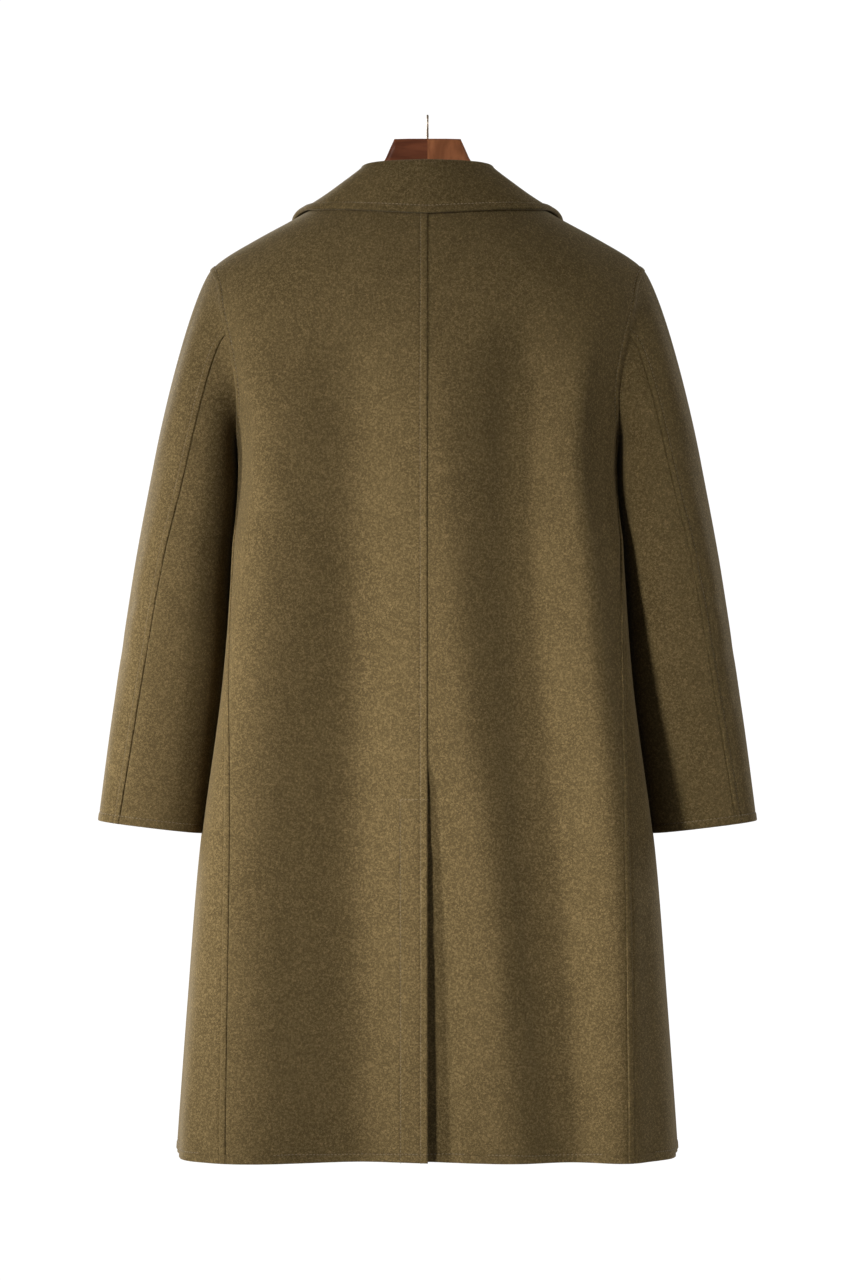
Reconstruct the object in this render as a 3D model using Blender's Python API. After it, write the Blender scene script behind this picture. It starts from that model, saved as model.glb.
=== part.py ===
"""Knee-length wool coat hanging on a wooden hanger.

Metres, +Z up. The coat faces +Y, so its back is seen along +Y and the wearer's left is at -X.
The origin is the underside of the hook's bend, where a rail carries the hanger.
"""
import math
from typing import NamedTuple

import bmesh
import bpy
from mathutils import Vector

# Cloth
WALL = 0.0028
COLLAR_WALL = 0.0032
SEAM_GAP = 0.0003

# Heights of the body
HEM_Z = -1.127
VENT_TOP_Z = -0.740
UNDERARM_Z = -0.375
SHOULDER_TIP_Z = -0.168

# Widths on the body
BACK_ARMHOLE_REACH = 0.065
FRONT_ARMHOLE_REACH = 0.062
SHOULDER_EASE = 0.038
SHOULDER_SHARP_DEG = 3.0
SHOULDER_SOFT_DEG = 35.0
FRONT_OVERLAP = 0.030
VENT_UNDERLAP = 0.036
VENT_DEPTH_TOP = 0.0043
VENT_CLEARANCE = 0.0007
VENT_DEPTH_HEM = 0.013
VENT_SOFTNESS_DEG = 18.0
FRONT_TUCK = 0.0036
FRONT_TUCK_START_DEG = 150.0
FRONT_TUCK_END_DEG = 166.0

# Where the armhole ring meets the seams: shares of the way from the shoulder tip to the underarm
SIDE_SEAM_SHARE = 0.7105
BACK_ROWS = 7
UNDERARM_COLUMNS = 3
FRONT_ROWS = 9
BACK_SLEEVE_SEAM = 4
FRONT_SLEEVE_SEAM = 13

# Mesh steps of the body panels
SKIRT_ROWS = 9
WAIST_ROWS = 11
SHOULDER_ROWS = 5
BACK_COLUMNS = 12
CHEST_COLUMNS = 11
UNDERLAP_COLUMNS = 2
CAP_ROWS = 6
ARM_ROWS = 11

# Buttons
BUTTON_RADIUS = 0.0125
BUTTON_THICKNESS = 0.004
BUTTON_HEIGHTS = (-0.235, -0.375, -0.515, -0.655)
BUTTON_SIDES = 18

# Hanger and hook
WOOD_TOP_Z = -0.0245
WIRE_RADIUS = 0.0013
HOOK_INNER_RADIUS = 0.0085
HOOK_STEPS = 26
WIRE_SIDES = 8
WOOD_SIDES = 14


class BodyRow(NamedTuple):
    """Level section of the body: a rounded oval, squarer as squareness grows past 2."""
    z: float
    half_width: float
    back_depth: float
    front_depth: float
    squareness: float


BODY_ROWS = (
    BodyRow(-0.062, 0.060, 0.058, 0.052, 2.00),
    BodyRow(-0.073, 0.078, 0.064, 0.058, 2.00),
    BodyRow(-0.092, 0.1105, 0.074, 0.067, 2.00),
    BodyRow(-0.112, 0.1455, 0.085, 0.077, 2.00),
    BodyRow(-0.134, 0.186, 0.097, 0.088, 2.05),
    BodyRow(-0.156, 0.2225, 0.106, 0.098, 2.15),
    BodyRow(-0.172, 0.2385, 0.111, 0.103, 2.25),
    BodyRow(-0.205, 0.2405, 0.118, 0.112, 2.40),
    BodyRow(-0.243, 0.2374, 0.122, 0.119, 2.50),
    BodyRow(-0.311, 0.2188, 0.123, 0.124, 2.60),
    BodyRow(-0.375, 0.2070, 0.122, 0.126, 2.95),
    BodyRow(-0.480, 0.2125, 0.118, 0.124, 3.70),
    BodyRow(-0.600, 0.2200, 0.116, 0.122, 4.40),
    BodyRow(-0.710, 0.2350, 0.116, 0.122, 4.60),
    BodyRow(-0.800, 0.2475, 0.118, 0.123, 4.50),
    BodyRow(-0.960, 0.2600, 0.121, 0.125, 4.30),
    BodyRow(-1.127, 0.2720, 0.125, 0.128, 4.00),
)


class Fold(NamedTuple):
    """Soft vertical trough (depth above 0) or ridge (below 0), by its angle round the body."""
    angle_top: float
    angle_hem: float
    spread: float
    depth_top: float
    depth_hem: float


FOLD_START_Z = -0.17
FOLD_FULL_Z = -0.34
FOLDS = (
    Fold(-23.4, -14.8, 12.5, 0.0150, 0.0180),
    Fold(24.5, 28.8, 8.2, 0.0140, 0.0130),
    Fold(-47.0, -37.0, 9.2, -0.0075, -0.0128),
    Fold(-0.8, 22.5, 7.2, -0.0024, -0.0084),
    Fold(43.0, 40.0, 5.2, -0.0090, -0.0110),
    Fold(-49.0, -52.0, 8.5, -0.0025, -0.0075),
    Fold(-78.0, -72.0, 8.0, 0.0010, 0.0040),
    Fold(80.0, 74.0, 8.0, 0.0010, 0.0050),
    Fold(-126.0, -130.0, 9.0, 0.0040, 0.0080),
    Fold(129.0, 133.0, 9.0, 0.0040, 0.0075),
    Fold(-104.0, -103.0, 7.0, -0.0010, -0.0035),
    Fold(106.0, 104.0, 7.0, -0.0010, -0.0035),
)


class SeamRow(NamedTuple):
    """Distance of the side-back seam from the centre at one height."""
    z: float
    reach: float


SIDE_SEAM_ROWS = (
    SeamRow(-0.480, 0.2035),
    SeamRow(-0.700, 0.2035),
    SeamRow(-0.860, 0.2055),
    SeamRow(-1.127, 0.2096),
)


class NeckRow(NamedTuple):
    """Collar and neckline at one angle round the neck, measured from the centre back."""
    angle: float
    neckline_z: float
    stand_height: float
    stand_lean: float
    edge_z: float


NECK_ROWS = (
    NeckRow(0.0, -0.0850, 0.0305, 0.0060, -0.1150),
    NeckRow(50.0, -0.0800, 0.0238, 0.0095, -0.1085),
    NeckRow(90.0, -0.0745, 0.0098, 0.0120, -0.1085),
    NeckRow(130.0, -0.0950, 0.0190, 0.0080, -0.1330),
    NeckRow(165.0, -0.1230, 0.0250, 0.0050, -0.1820),
    NeckRow(180.0, -0.1290, 0.0260, 0.0040, -0.1700),
)
COLLAR_END_DEG = 177.5
COLLAR_CUT_DEG = 17.0
COLLAR_COLUMNS = 48
COLLAR_FOLD_RADIUS = 0.0036
COLLAR_SEAT = 0.0009
COLLAR_FOOT_LIFT = 0.0008
COLLAR_STEPS = 12


class SleeveRow(NamedTuple):
    """Sleeve section: its outer and inner edge as reach from the centre and height, and its depth."""
    outer_reach: float
    outer_z: float
    inner_reach: float
    inner_z: float
    centre_y: float
    half_depth: float
    back_seam_deg: float


SLEEVE_ROWS = (
    SleeveRow(0.2970, -0.3740, 0.2115, -0.4000, -0.002, 0.072, 78.0),
    SleeveRow(0.3172, -0.4800, 0.2148, -0.4940, 0.000, 0.067, 68.0),
    SleeveRow(0.3335, -0.5810, 0.2213, -0.5950, 0.006, 0.060, 63.0),
    SleeveRow(0.3480, -0.6790, 0.2343, -0.6930, 0.013, 0.053, 60.0),
    SleeveRow(0.3600, -0.7670, 0.2470, -0.7810, 0.020, 0.046, 57.0),
)
FRONT_SLEEVE_SEAM_DEG = 245.0
CAP_START_PULL = 0.45
CAP_END_PULL = 1.0
UNDERARM_DIRECTION = (0.90, 0.0, -0.45)
SAME_WAY = 0.9


class WoodRow(NamedTuple):
    """Hanger section at one reach from the centre; top_z None lies under the shoulder cloth."""
    reach: float
    top_z: float
    height: float
    half_thickness: float


WOOD_ROWS = (
    WoodRow(0.00015, WOOD_TOP_Z, 0.086, 0.0115),
    WoodRow(0.0200, WOOD_TOP_Z, 0.085, 0.0115),
    WoodRow(0.0360, WOOD_TOP_Z - 0.0004, 0.082, 0.0115),
    WoodRow(0.0400, -0.0335, 0.073, 0.0116),
    WoodRow(0.0450, -0.0450, 0.063, 0.0118),
    WoodRow(0.0530, -0.0590, 0.053, 0.0122),
    WoodRow(0.0660, -0.0720, 0.046, 0.0130),
    WoodRow(0.0900, None, 0.042, 0.0150),
    WoodRow(0.1200, None, 0.038, 0.0175),
    WoodRow(0.1500, None, 0.035, 0.0185),
    WoodRow(0.1800, None, 0.032, 0.0185),
    WoodRow(0.2000, None, 0.026, 0.0165),
    WoodRow(0.2100, None, 0.015, 0.0120),
)
WOOD_SEAT = 0.0008


class Finish(NamedTuple):
    """Plain colour and shine of one material."""
    colour: tuple
    roughness: float
    metallic: float


FINISHES = {
    "wool": Finish((0.089, 0.063, 0.025, 1.0), 0.92, 0.0),
    "wood": Finish((0.160, 0.060, 0.033, 1.0), 0.42, 0.0),
    "wire": Finish((0.450, 0.370, 0.290, 1.0), 0.35, 1.0),
    "horn": Finish((0.035, 0.022, 0.012, 1.0), 0.35, 0.0),
}


def smoothstep(start, end, value):
    """Ease from 0 at start to 1 at end."""
    share = min(1.0, max(0.0, (value - start) / (end - start)))
    return share * share * (3.0 - 2.0 * share)


def read_rows(rows, key, value):
    """Read every column of a table at one key, on a smooth curve through the rows."""
    rows = sorted(rows, key=lambda row: getattr(row, key))
    keys = [getattr(row, key) for row in rows]
    value = min(keys[-1], max(keys[0], value))
    index = 0
    while index < len(keys) - 2 and value > keys[index + 1]:
        index += 1
    return curve_between(rows, keys, index, value)


def curve_between(rows, keys, index, value):
    """Cubic through neighbouring rows, with slopes taken from the rows on each side."""
    span = keys[index + 1] - keys[index]
    share = (value - keys[index]) / span
    before = max(0, index - 1)
    after = min(len(rows) - 1, index + 2)
    columns = []
    for column in range(len(rows[0])):
        low = rows[index][column]
        high = rows[index + 1][column]
        slope_low = (high - rows[before][column]) / (keys[index + 1] - keys[before])
        slope_high = (rows[after][column] - low) / (keys[after] - keys[index])
        columns.append(
            low * (1 + 2 * share) * (1 - share) ** 2
            + high * share ** 2 * (3 - 2 * share)
            + span * slope_low * share * (1 - share) ** 2
            - span * slope_high * share ** 2 * (1 - share)
        )
    return type(rows[0])(*columns)


def fold_depth(angle, z):
    """How far the folds draw the cloth in at an angle and height of the body."""
    fullness = smoothstep(FOLD_START_Z, FOLD_FULL_Z, z)
    if fullness == 0.0:
        return 0.0
    drop = (z - FOLD_START_Z) / (HEM_Z - FOLD_START_Z)
    depth = 0.0
    for fold in FOLDS:
        centre = fold.angle_top + (fold.angle_hem - fold.angle_top) * drop
        away = (angle - centre + 180.0) % 360.0 - 180.0
        here = fold.depth_top + (fold.depth_hem - fold.depth_top) * drop
        depth += here * math.exp(-((away / fold.spread) ** 2))
    return depth * fullness


def eased_half_width(angle, z):
    """Half width at a height, sharp at the shoulder points and eased towards the middle."""
    here = read_rows(BODY_ROWS, "z", z).half_width
    ease = min(SHOULDER_EASE, max(0.0, BODY_ROWS[0].z - z))
    above = read_rows(BODY_ROWS, "z", z + ease).half_width
    below = read_rows(BODY_ROWS, "z", z - ease).half_width
    from_side = abs(90.0 - abs(angle) % 180.0)
    soft = smoothstep(SHOULDER_SHARP_DEG, SHOULDER_SOFT_DEG, from_side)
    return here + soft * ((here + above + below) / 3.0 - here)


def body_point(angle, z, tuck=0.0):
    """Outer cloth point at an angle from the centre back (+ to +X), drawn in by tuck."""
    row = read_rows(BODY_ROWS, "z", z)
    sine = math.sin(math.radians(angle))
    cosine = math.cos(math.radians(angle))
    power = row.squareness
    swell = (abs(sine) ** power + abs(cosine) ** power) ** (-1.0 / power)
    depth = row.back_depth if cosine > 0 else row.front_depth
    half_width = eased_half_width(angle, z)
    x = half_width * swell * sine
    y = -depth * swell * cosine
    outward = Vector((x / half_width ** 2, y / depth ** 2, 0.0)).normalized()
    return Vector((x, y, z)) - outward * (tuck + fold_depth(angle, z))


def body_normal(angle, z, tuck=None):
    """Outward direction of the body's cloth, from its slopes round and up."""
    step_angle = 0.25
    step_z = 0.001
    draw = tuck or no_tuck
    round_way = (body_point(angle + step_angle, z, draw(angle + step_angle, z))
                 - body_point(angle - step_angle, z, draw(angle - step_angle, z)))
    up_way = (body_point(angle, z + step_z, draw(angle, z + step_z))
              - body_point(angle, z - step_z, draw(angle, z - step_z)))
    return round_way.cross(up_way).normalized()


def no_tuck(angle, z):
    """Cloth that lies on the body's own surface."""
    return 0.0


def vent_tuck(angle, z):
    """The right back lies deeper beside and under the vent."""
    opening = smoothstep(VENT_TOP_Z + 0.05, VENT_TOP_Z, z) * VENT_DEPTH_TOP
    drop = max(0.0, (VENT_TOP_Z - z) / (VENT_TOP_Z - HEM_Z))
    depth = opening + (VENT_DEPTH_HEM - VENT_DEPTH_TOP) * drop
    return depth * (1.0 - smoothstep(1.0, VENT_SOFTNESS_DEG, angle))


def front_tuck(angle, z):
    """The right front lies under the left along the centre front."""
    return FRONT_TUCK * smoothstep(FRONT_TUCK_START_DEG, FRONT_TUCK_END_DEG, angle)


def angle_at_reach(reach, z):
    """Angle from the centre back where the body's back stands this far from the centre."""
    row = read_rows(BODY_ROWS, "z", z)
    share = min(0.9999, reach / row.half_width)
    cotangent = (share ** -row.squareness - 1.0) ** (1.0 / row.squareness)
    return math.degrees(math.atan2(1.0, cotangent))


def reach_at_angle(angle, z):
    """Distance from the centre of the body's plain section at an angle from the centre back."""
    row = read_rows(BODY_ROWS, "z", z)
    cotangent = 1.0 / math.tan(math.radians(angle))
    return row.half_width * (1.0 + cotangent ** row.squareness) ** (-1.0 / row.squareness)


def angle_at_depth(depth, z):
    """Angle from the centre back where the body lies this far back (-) or forward (+)."""
    row = read_rows(BODY_ROWS, "z", z)
    half = row.back_depth if depth < 0 else row.front_depth
    share = min(0.9999, max(1e-6, abs(depth) / half))
    tangent = (share ** -row.squareness - 1.0) ** (1.0 / row.squareness)
    angle = math.degrees(math.atan(tangent))
    return angle if depth < 0 else 180.0 - angle


def armhole(share, reach):
    """Angle and height on the armhole, from the shoulder tip (0) to the underarm (1)."""
    z = SHOULDER_TIP_Z + (UNDERARM_Z - SHOULDER_TIP_Z) * (1.0 - math.cos(math.pi * share)) / 2.0
    depth = reach * math.sin(math.pi * share)
    return angle_at_depth(depth, z), z


SEAM_TOP_ANGLE, SEAM_TOP_Z = armhole(SIDE_SEAM_SHARE, -BACK_ARMHOLE_REACH)


def side_seam_angle(z):
    """Angle of the side-back seam, from the armhole down to the hem."""
    top = SeamRow(SEAM_TOP_Z, reach_at_angle(SEAM_TOP_ANGLE, SEAM_TOP_Z))
    return angle_at_reach(read_rows(SIDE_SEAM_ROWS + (top,), "z", z).reach, z)


def neck_row(angle):
    """Neckline and collar sizes at an angle from the centre back."""
    return read_rows(NECK_ROWS, "angle", 180.0 - abs(180.0 - abs(angle)))


def spaced(start, end, steps):
    """Evenly spaced values, both ends included."""
    return [start + (end - start) * step / steps for step in range(steps + 1)]


def seam_inset(angle, z):
    """Half a seam gap as an angle at this place on the body."""
    speed = (body_point(angle + 0.5, z) - body_point(angle - 0.5, z)).length
    return 0.5 * SEAM_GAP / speed


def lower_levels(top_z):
    """Heights from the hem to top_z, with one at the top of the vent."""
    return spaced(HEM_Z, VENT_TOP_Z, SKIRT_ROWS) + spaced(VENT_TOP_Z, top_z, WAIST_ROWS)[1:]


def back_levels():
    """Edge angle and height of each row of a back panel, hem to shoulder tip."""
    rows = [(side_seam_angle(z), z) for z in lower_levels(SEAM_TOP_Z)]
    shares = spaced(SIDE_SEAM_SHARE, 0.0, BACK_ROWS)[1:]
    return rows + [armhole(share, -BACK_ARMHOLE_REACH) for share in shares]


def front_levels():
    """Edge angle and height of each row of a front panel's chest, hem to shoulder tip."""
    rows = [(90.0, z) for z in lower_levels(UNDERARM_Z)]
    shares = spaced(1.0, 0.0, FRONT_ROWS)[1:]
    return rows + [armhole(share, FRONT_ARMHOLE_REACH) for share in shares]


def underarm_columns():
    """Angle and height along the armhole from the underarm back to the side-back seam."""
    shares = spaced(1.0, SIDE_SEAM_SHARE, UNDERARM_COLUMNS)
    return [armhole(share, -BACK_ARMHOLE_REACH) for share in shares]


def shoulder_height(angle, share):
    """Height above the shoulder tip's level, share of the way up to the neckline."""
    return SHOULDER_TIP_Z + share * (neck_row(angle).neckline_z - SHOULDER_TIP_Z)


class Sheet:
    """Grid of cloth points, joined where blocks share a key, then thickened into a wall."""

    def __init__(self):
        self.points = []
        self.outward = []
        self.index = {}
        self.quads = []

    def add(self, key, point, outward):
        """Place one point of the sheet under a key, once."""
        if key not in self.index:
            self.index[key] = len(self.points)
            self.points.append(point)
            self.outward.append(outward)

    def fill(self, columns, rows):
        """Join the points of a block of columns and rows into faces."""
        for left, right in zip(columns[:-1], columns[1:]):
            for low, high in zip(rows[:-1], rows[1:]):
                keys = ((left, low), (right, low), (right, high), (left, high))
                self.quads.append([self.index[key] for key in keys])

    def wall(self, name, finish, outside, inside):
        """Close the sheet into a solid wall reaching outside and inside of its points."""
        mesh = bmesh.new()
        outer = [mesh.verts.new(p + n * outside) for p, n in zip(self.points, self.outward)]
        inner = [mesh.verts.new(p - n * inside) for p, n in zip(self.points, self.outward)]
        edge_uses = {}
        for quad in self.quads:
            mesh.faces.new([outer[i] for i in quad])
            mesh.faces.new([inner[i] for i in reversed(quad)])
            for start, end in zip(quad, quad[1:] + quad[:1]):
                edge_uses.setdefault(frozenset((start, end)), []).append((start, end))
        for uses in edge_uses.values():
            if len(uses) == 1:
                start, end = uses[0]
                mesh.faces.new((outer[end], outer[start], inner[start], inner[end]))
        return finish_object(name, mesh, finish)


def finish_object(name, mesh, finish):
    """Turn a mesh into a named object with outward faces and its own material."""
    bmesh.ops.recalc_face_normals(mesh, faces=mesh.faces)
    data = bpy.data.meshes.new(name)
    mesh.to_mesh(data)
    mesh.free()
    data.shade_smooth()
    data.set_sharp_from_angle(angle=math.radians(40.0))
    thing = bpy.data.objects.new(name, data)
    bpy.context.scene.collection.objects.link(thing)
    data.materials.append(make_material(name, FINISHES[finish]))
    return thing


def make_material(name, finish):
    """Principled material of one piece."""
    material = bpy.data.materials.new(name)
    material.use_nodes = True
    shader = material.node_tree.nodes["Principled BSDF"]
    shader.inputs["Base Color"].default_value = finish.colour
    shader.inputs["Roughness"].default_value = finish.roughness
    shader.inputs["Metallic"].default_value = finish.metallic
    return material


def add_body_point(sheet, key, side, angle, z, tuck):
    """Put one body point on a sheet; side is -1 for the wearer's left and +1 for the right."""
    signed = side * angle

    def signed_tuck(other, height):
        return tuck(side * other, height)

    point = body_point(signed, z, tuck(angle, z))
    sheet.add(key, point, body_normal(signed, z, signed_tuck))


def build_back(side, name):
    """Back panel from the centre seam to the side seam, armhole, shoulder and neck."""
    tuck = vent_tuck if side > 0 else no_tuck
    sheet = Sheet()
    levels = back_levels()
    top = len(levels)
    columns = list(range(BACK_COLUMNS + 1))
    rows = list(range(top + SHOULDER_ROWS))
    for row in rows:
        for column in columns:
            share = column / BACK_COLUMNS
            if row < top:
                edge, z = levels[row]
                angle = back_angle(side, edge, z, share)
            else:
                rise = (row - top + 1) / SHOULDER_ROWS
                angle = back_angle(side, 90.0, shoulder_height(90.0, rise), share)
                z = shoulder_height(angle, rise)
            add_body_point(sheet, (column, row), side, angle, z, tuck)
    sheet.fill(columns, rows)
    if side > 0:
        add_underlap(sheet, levels, tuck)
    return sheet.wall(name, "wool", 0.0, WALL)


def back_angle(side, edge, z, share):
    """Angle of a back column, half a seam gap clear of the centre and of the panel's edge."""
    inset_centre = seam_inset(0.0, z)
    if side > 0:
        dip = smoothstep(VENT_TOP_Z + 0.09, VENT_TOP_Z + 0.05, z)
        inset_centre *= 1.0 + dip * VENT_CLEARANCE / (0.5 * SEAM_GAP)
    inset_edge = seam_inset(edge, z)
    return inset_centre + share * (edge - inset_edge - inset_centre)


def add_underlap(sheet, levels, tuck):
    """Extend the right back under the left one, from the hem to the top of the vent."""
    rows = list(range(SKIRT_ROWS + 1))
    columns = list(range(-UNDERLAP_COLUMNS, 1))
    for row in rows:
        z = levels[row][1]
        reach = VENT_UNDERLAP / read_rows(BODY_ROWS, "z", z).half_width
        for column in columns[:-1]:
            angle = math.degrees(reach) * column / UNDERLAP_COLUMNS
            add_body_point(sheet, (column, row), 1, angle, z, tuck)
    sheet.fill(columns, rows)


def build_front(side, name):
    """Front panel from past the centre front round to the side-back seam."""
    tuck = front_tuck if side > 0 else no_tuck
    sheet = Sheet()
    levels = front_levels()
    top = len(levels)
    columns = list(range(CHEST_COLUMNS + 1))
    rows = list(range(top + SHOULDER_ROWS))
    for row in rows:
        for column in columns:
            share = column / CHEST_COLUMNS
            if row < top:
                edge, z = levels[row]
                angle = chest_angle(edge, z, z, share)
            else:
                rise = (row - top + 1) / SHOULDER_ROWS
                seam_z = shoulder_height(90.0, rise)
                angle = chest_angle(90.0, seam_z, shoulder_height(180.0, rise), share)
                z = shoulder_height(angle, rise)
            add_body_point(sheet, (column, row), side, angle, z, tuck)
    sheet.fill(columns, rows)
    add_underarm(sheet, side, tuck)
    return sheet.wall(name, "wool", 0.0, WALL)


def chest_angle(edge, z, front_z, share):
    """Angle of a front column, from the armhole side to the edge past the centre front."""
    overlap = math.degrees(FRONT_OVERLAP / read_rows(BODY_ROWS, "z", front_z).half_width)
    inset = seam_inset(edge, z) if edge != 90.0 or z > UNDERARM_Z else 0.0
    start = edge + inset
    return start + share * (180.0 + overlap - start)


def add_underarm(sheet, side, tuck):
    """Carry the front round the side, below the armhole, to the side-back seam."""
    arm = underarm_columns()
    rows = list(range(SKIRT_ROWS + WAIST_ROWS + 1))
    columns = list(range(-UNDERARM_COLUMNS, 1))
    whole = 90.0 - arm[-1][0]
    for column in columns[:-1]:
        arm_angle, arm_z = arm[-column]
        share = (90.0 - arm_angle) / whole
        for row, z in enumerate(lower_levels(arm_z)):
            seam = side_seam_angle(z)
            angle = 90.0 - share * (90.0 - seam - seam_inset(seam, z))
            if row == rows[-1]:
                angle = arm_angle + (seam_inset(seam, z) if column == columns[0] else 0.0)
            add_body_point(sheet, (column, row), side, angle, z, tuck)
    sheet.fill(columns, rows)


def armhole_ring():
    """Angle, height and share down of the armhole: tip, down the back, up the front."""
    ring = []
    for share in spaced(0.0, SIDE_SEAM_SHARE, BACK_ROWS):
        ring.append(armhole(share, -BACK_ARMHOLE_REACH) + (share,))
    for share in spaced(SIDE_SEAM_SHARE, 1.0, UNDERARM_COLUMNS)[1:]:
        ring.append(armhole(share, -BACK_ARMHOLE_REACH) + (share,))
    for share in spaced(1.0, 0.0, FRONT_ROWS)[1:-1]:
        ring.append(armhole(share, FRONT_ARMHOLE_REACH) + (share,))
    return ring


def ring_tangents(side, ring, points):
    """Direction in which the sleeve leaves the armhole at each point of the ring."""
    count = len(ring)
    ways = []
    fall = Vector((side * UNDERARM_DIRECTION[0], 0.0, UNDERARM_DIRECTION[2])).normalized()
    for index, (angle, z, share) in enumerate(ring):
        along = points[(index + 1) % count] - points[index - 1]
        across = body_normal(side * angle, z).cross(along).normalized()
        if index == 0:
            turn = 1.0 if across.x * side > 0 else -1.0
        ease = smoothstep(0.30, 0.80, share)
        ways.append((across * turn * (1.0 - ease) + fall * ease).normalized())
    return ways


def sleeve_row(share):
    """Sleeve section at a share of the way from the bicep to the cuff."""
    last = len(SLEEVE_ROWS) - 1
    place = share * last
    index = min(last - 1, int(place))
    return curve_between(SLEEVE_ROWS, list(range(last + 1)), index, place)


def sleeve_angle(column, row):
    """Angle round the sleeve, 0 at its outer edge and 90 at the back, for one ring column."""
    count = BACK_ROWS + UNDERARM_COLUMNS + FRONT_ROWS
    front = FRONT_SLEEVE_SEAM_DEG
    back = row.back_seam_deg
    if BACK_SLEEVE_SEAM <= column <= FRONT_SLEEVE_SEAM:
        share = (column - BACK_SLEEVE_SEAM) / (FRONT_SLEEVE_SEAM - BACK_SLEEVE_SEAM)
        return back + share * (front - back)
    past = (column - FRONT_SLEEVE_SEAM) % count
    share = past / (count - FRONT_SLEEVE_SEAM + BACK_SLEEVE_SEAM)
    return front - 360.0 + share * (back + 360.0 - front)


def arm_point(side, share, column, turn=0.0):
    """Point of the sleeve below the bicep, turned by a small angle round it if asked."""
    row = sleeve_row(share)
    angle = math.radians(sleeve_angle(column, row) + turn)
    cosine = math.cos(angle)
    reach = (row.outer_reach + row.inner_reach + (row.outer_reach - row.inner_reach) * cosine) / 2.0
    z = (row.outer_z + row.inner_z + (row.outer_z - row.inner_z) * cosine) / 2.0
    return Vector((side * reach, row.centre_y - row.half_depth * math.sin(angle), z))


def sleeve_points(side):
    """Rings of the whole sleeve from the armhole to the cuff, one list a row."""
    ring = armhole_ring()
    seam = [body_point(side * angle, z) for angle, z, _ in ring]
    ways = ring_tangents(side, ring, seam)
    rows = []
    for step in range(CAP_ROWS + ARM_ROWS + 1):
        row = []
        for column, (start, way) in enumerate(zip(seam, ways)):
            if step >= CAP_ROWS:
                row.append(arm_point(side, (step - CAP_ROWS) / ARM_ROWS, column))
            else:
                row.append(cap_point(side, column, start + way * SEAM_GAP, way, step / CAP_ROWS))
        rows.append(row)
    return rows


def cap_point(side, column, start, way, share):
    """Point of the sleeve head, on a smooth curve from the armhole to the bicep."""
    end = arm_point(side, 0.0, column)
    span = (end - start).length
    run = (arm_point(side, 0.02, column) - end).normalized()
    leave = way * span * CAP_START_PULL
    arrive = run * span * CAP_END_PULL
    return (start * ((1 + 2 * share) * (1 - share) ** 2)
            + end * (share ** 2 * (3 - 2 * share))
            + leave * (share * (1 - share) ** 2)
            - arrive * (share ** 2 * (1 - share)))


def build_sleeve(side, first, last, name):
    """One sleeve panel between two of the ring's columns, clear of its neighbour at the seams."""
    rows = sleeve_points(side)
    count = len(rows[0])
    shoulder = [body_normal(side * angle, z) for angle, z, _ in armhole_ring()]
    sheet = Sheet()
    for row, ring in enumerate(rows):
        below = rows[max(0, row - 1)]
        above = rows[min(len(rows) - 1, row + 1)]
        for column in range(first, last + 1):
            here = column % count
            round_way = ring[(column + 1) % count] - ring[(column - 1) % count]
            down_way = above[here] - below[here]
            outward = round_way.cross(down_way).normalized() * side
            if row == 0 and outward.dot(shoulder[here]) > SAME_WAY:
                outward = shoulder[here]
            point = ring[here].copy()
            if column == first:
                point += (ring[(column + 1) % count] - point).normalized() * SEAM_GAP / 2.0
            if column == last:
                point += (ring[(column - 1) % count] - point).normalized() * SEAM_GAP / 2.0
            sheet.add((column, row), point, outward)
    sheet.fill(list(range(first, last + 1)), list(range(len(rows))))
    return sheet.wall(name, "wool", 0.0, WALL)


def collar_profile(angle):
    """Middle line of the collar at one angle: up the stand, over the fold, down the fall."""
    size = neck_row(angle)
    foot = body_point(angle, size.neckline_z)
    edge_normal = body_normal(angle, size.edge_z)
    edge = body_point(angle, size.edge_z) + edge_normal * (COLLAR_SEAT + COLLAR_WALL / 2.0)
    outward = Vector((foot.x, foot.y, 0.0)).normalized()
    up = Vector((0.0, 0.0, 1.0))
    radius = COLLAR_FOLD_RADIUS
    crest = foot - outward * size.stand_lean + up * size.stand_height
    bend = crest + outward * 2.0 * radius - up * radius
    fall = edge - bend
    bulge = edge_normal * abs(math.cos(math.radians(angle)))
    corners = [
        foot - outward * COLLAR_WALL / 2.0 + up * COLLAR_FOOT_LIFT,
        foot - outward * size.stand_lean * 0.55 + up * size.stand_height * 0.5,
        crest - up * radius,
        crest + outward * radius,
        bend,
        bend + fall * 0.35 + bulge * 0.0022,
        bend + fall * 0.70 + bulge * 0.0014,
        edge,
    ]
    line = smooth_line(corners, COLLAR_STEPS)
    fall_start = COLLAR_STEPS // 2
    return line[:fall_start] + [lift_off_body(angle, point) for point in line[fall_start:]]


def lift_off_body(angle, point):
    """Move a point of the collar's fall out until its wall clears the body's cloth."""
    outward = body_normal(angle, point.z)
    clearance = (point - body_point(angle, point.z)).dot(outward)
    return point + outward * max(0.0, COLLAR_SEAT + COLLAR_WALL / 2.0 - clearance)


def smooth_line(corners, steps):
    """Points on a smooth curve through the corners, evenly spaced by corner."""
    last = len(corners) - 1
    line = []
    for step in range(steps + 1):
        place = step / steps * last
        index = min(last - 1, int(place))
        share = place - index
        low = corners[index]
        high = corners[index + 1]
        slope_low = (high - corners[max(0, index - 1)]) / 2.0
        slope_high = (corners[min(last, index + 2)] - low) / 2.0
        line.append(low * ((1 + 2 * share) * (1 - share) ** 2) + high * (share ** 2 * (3 - 2 * share))
                    + slope_low * (share * (1 - share) ** 2) - slope_high * (share ** 2 * (1 - share)))
    return line


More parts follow.
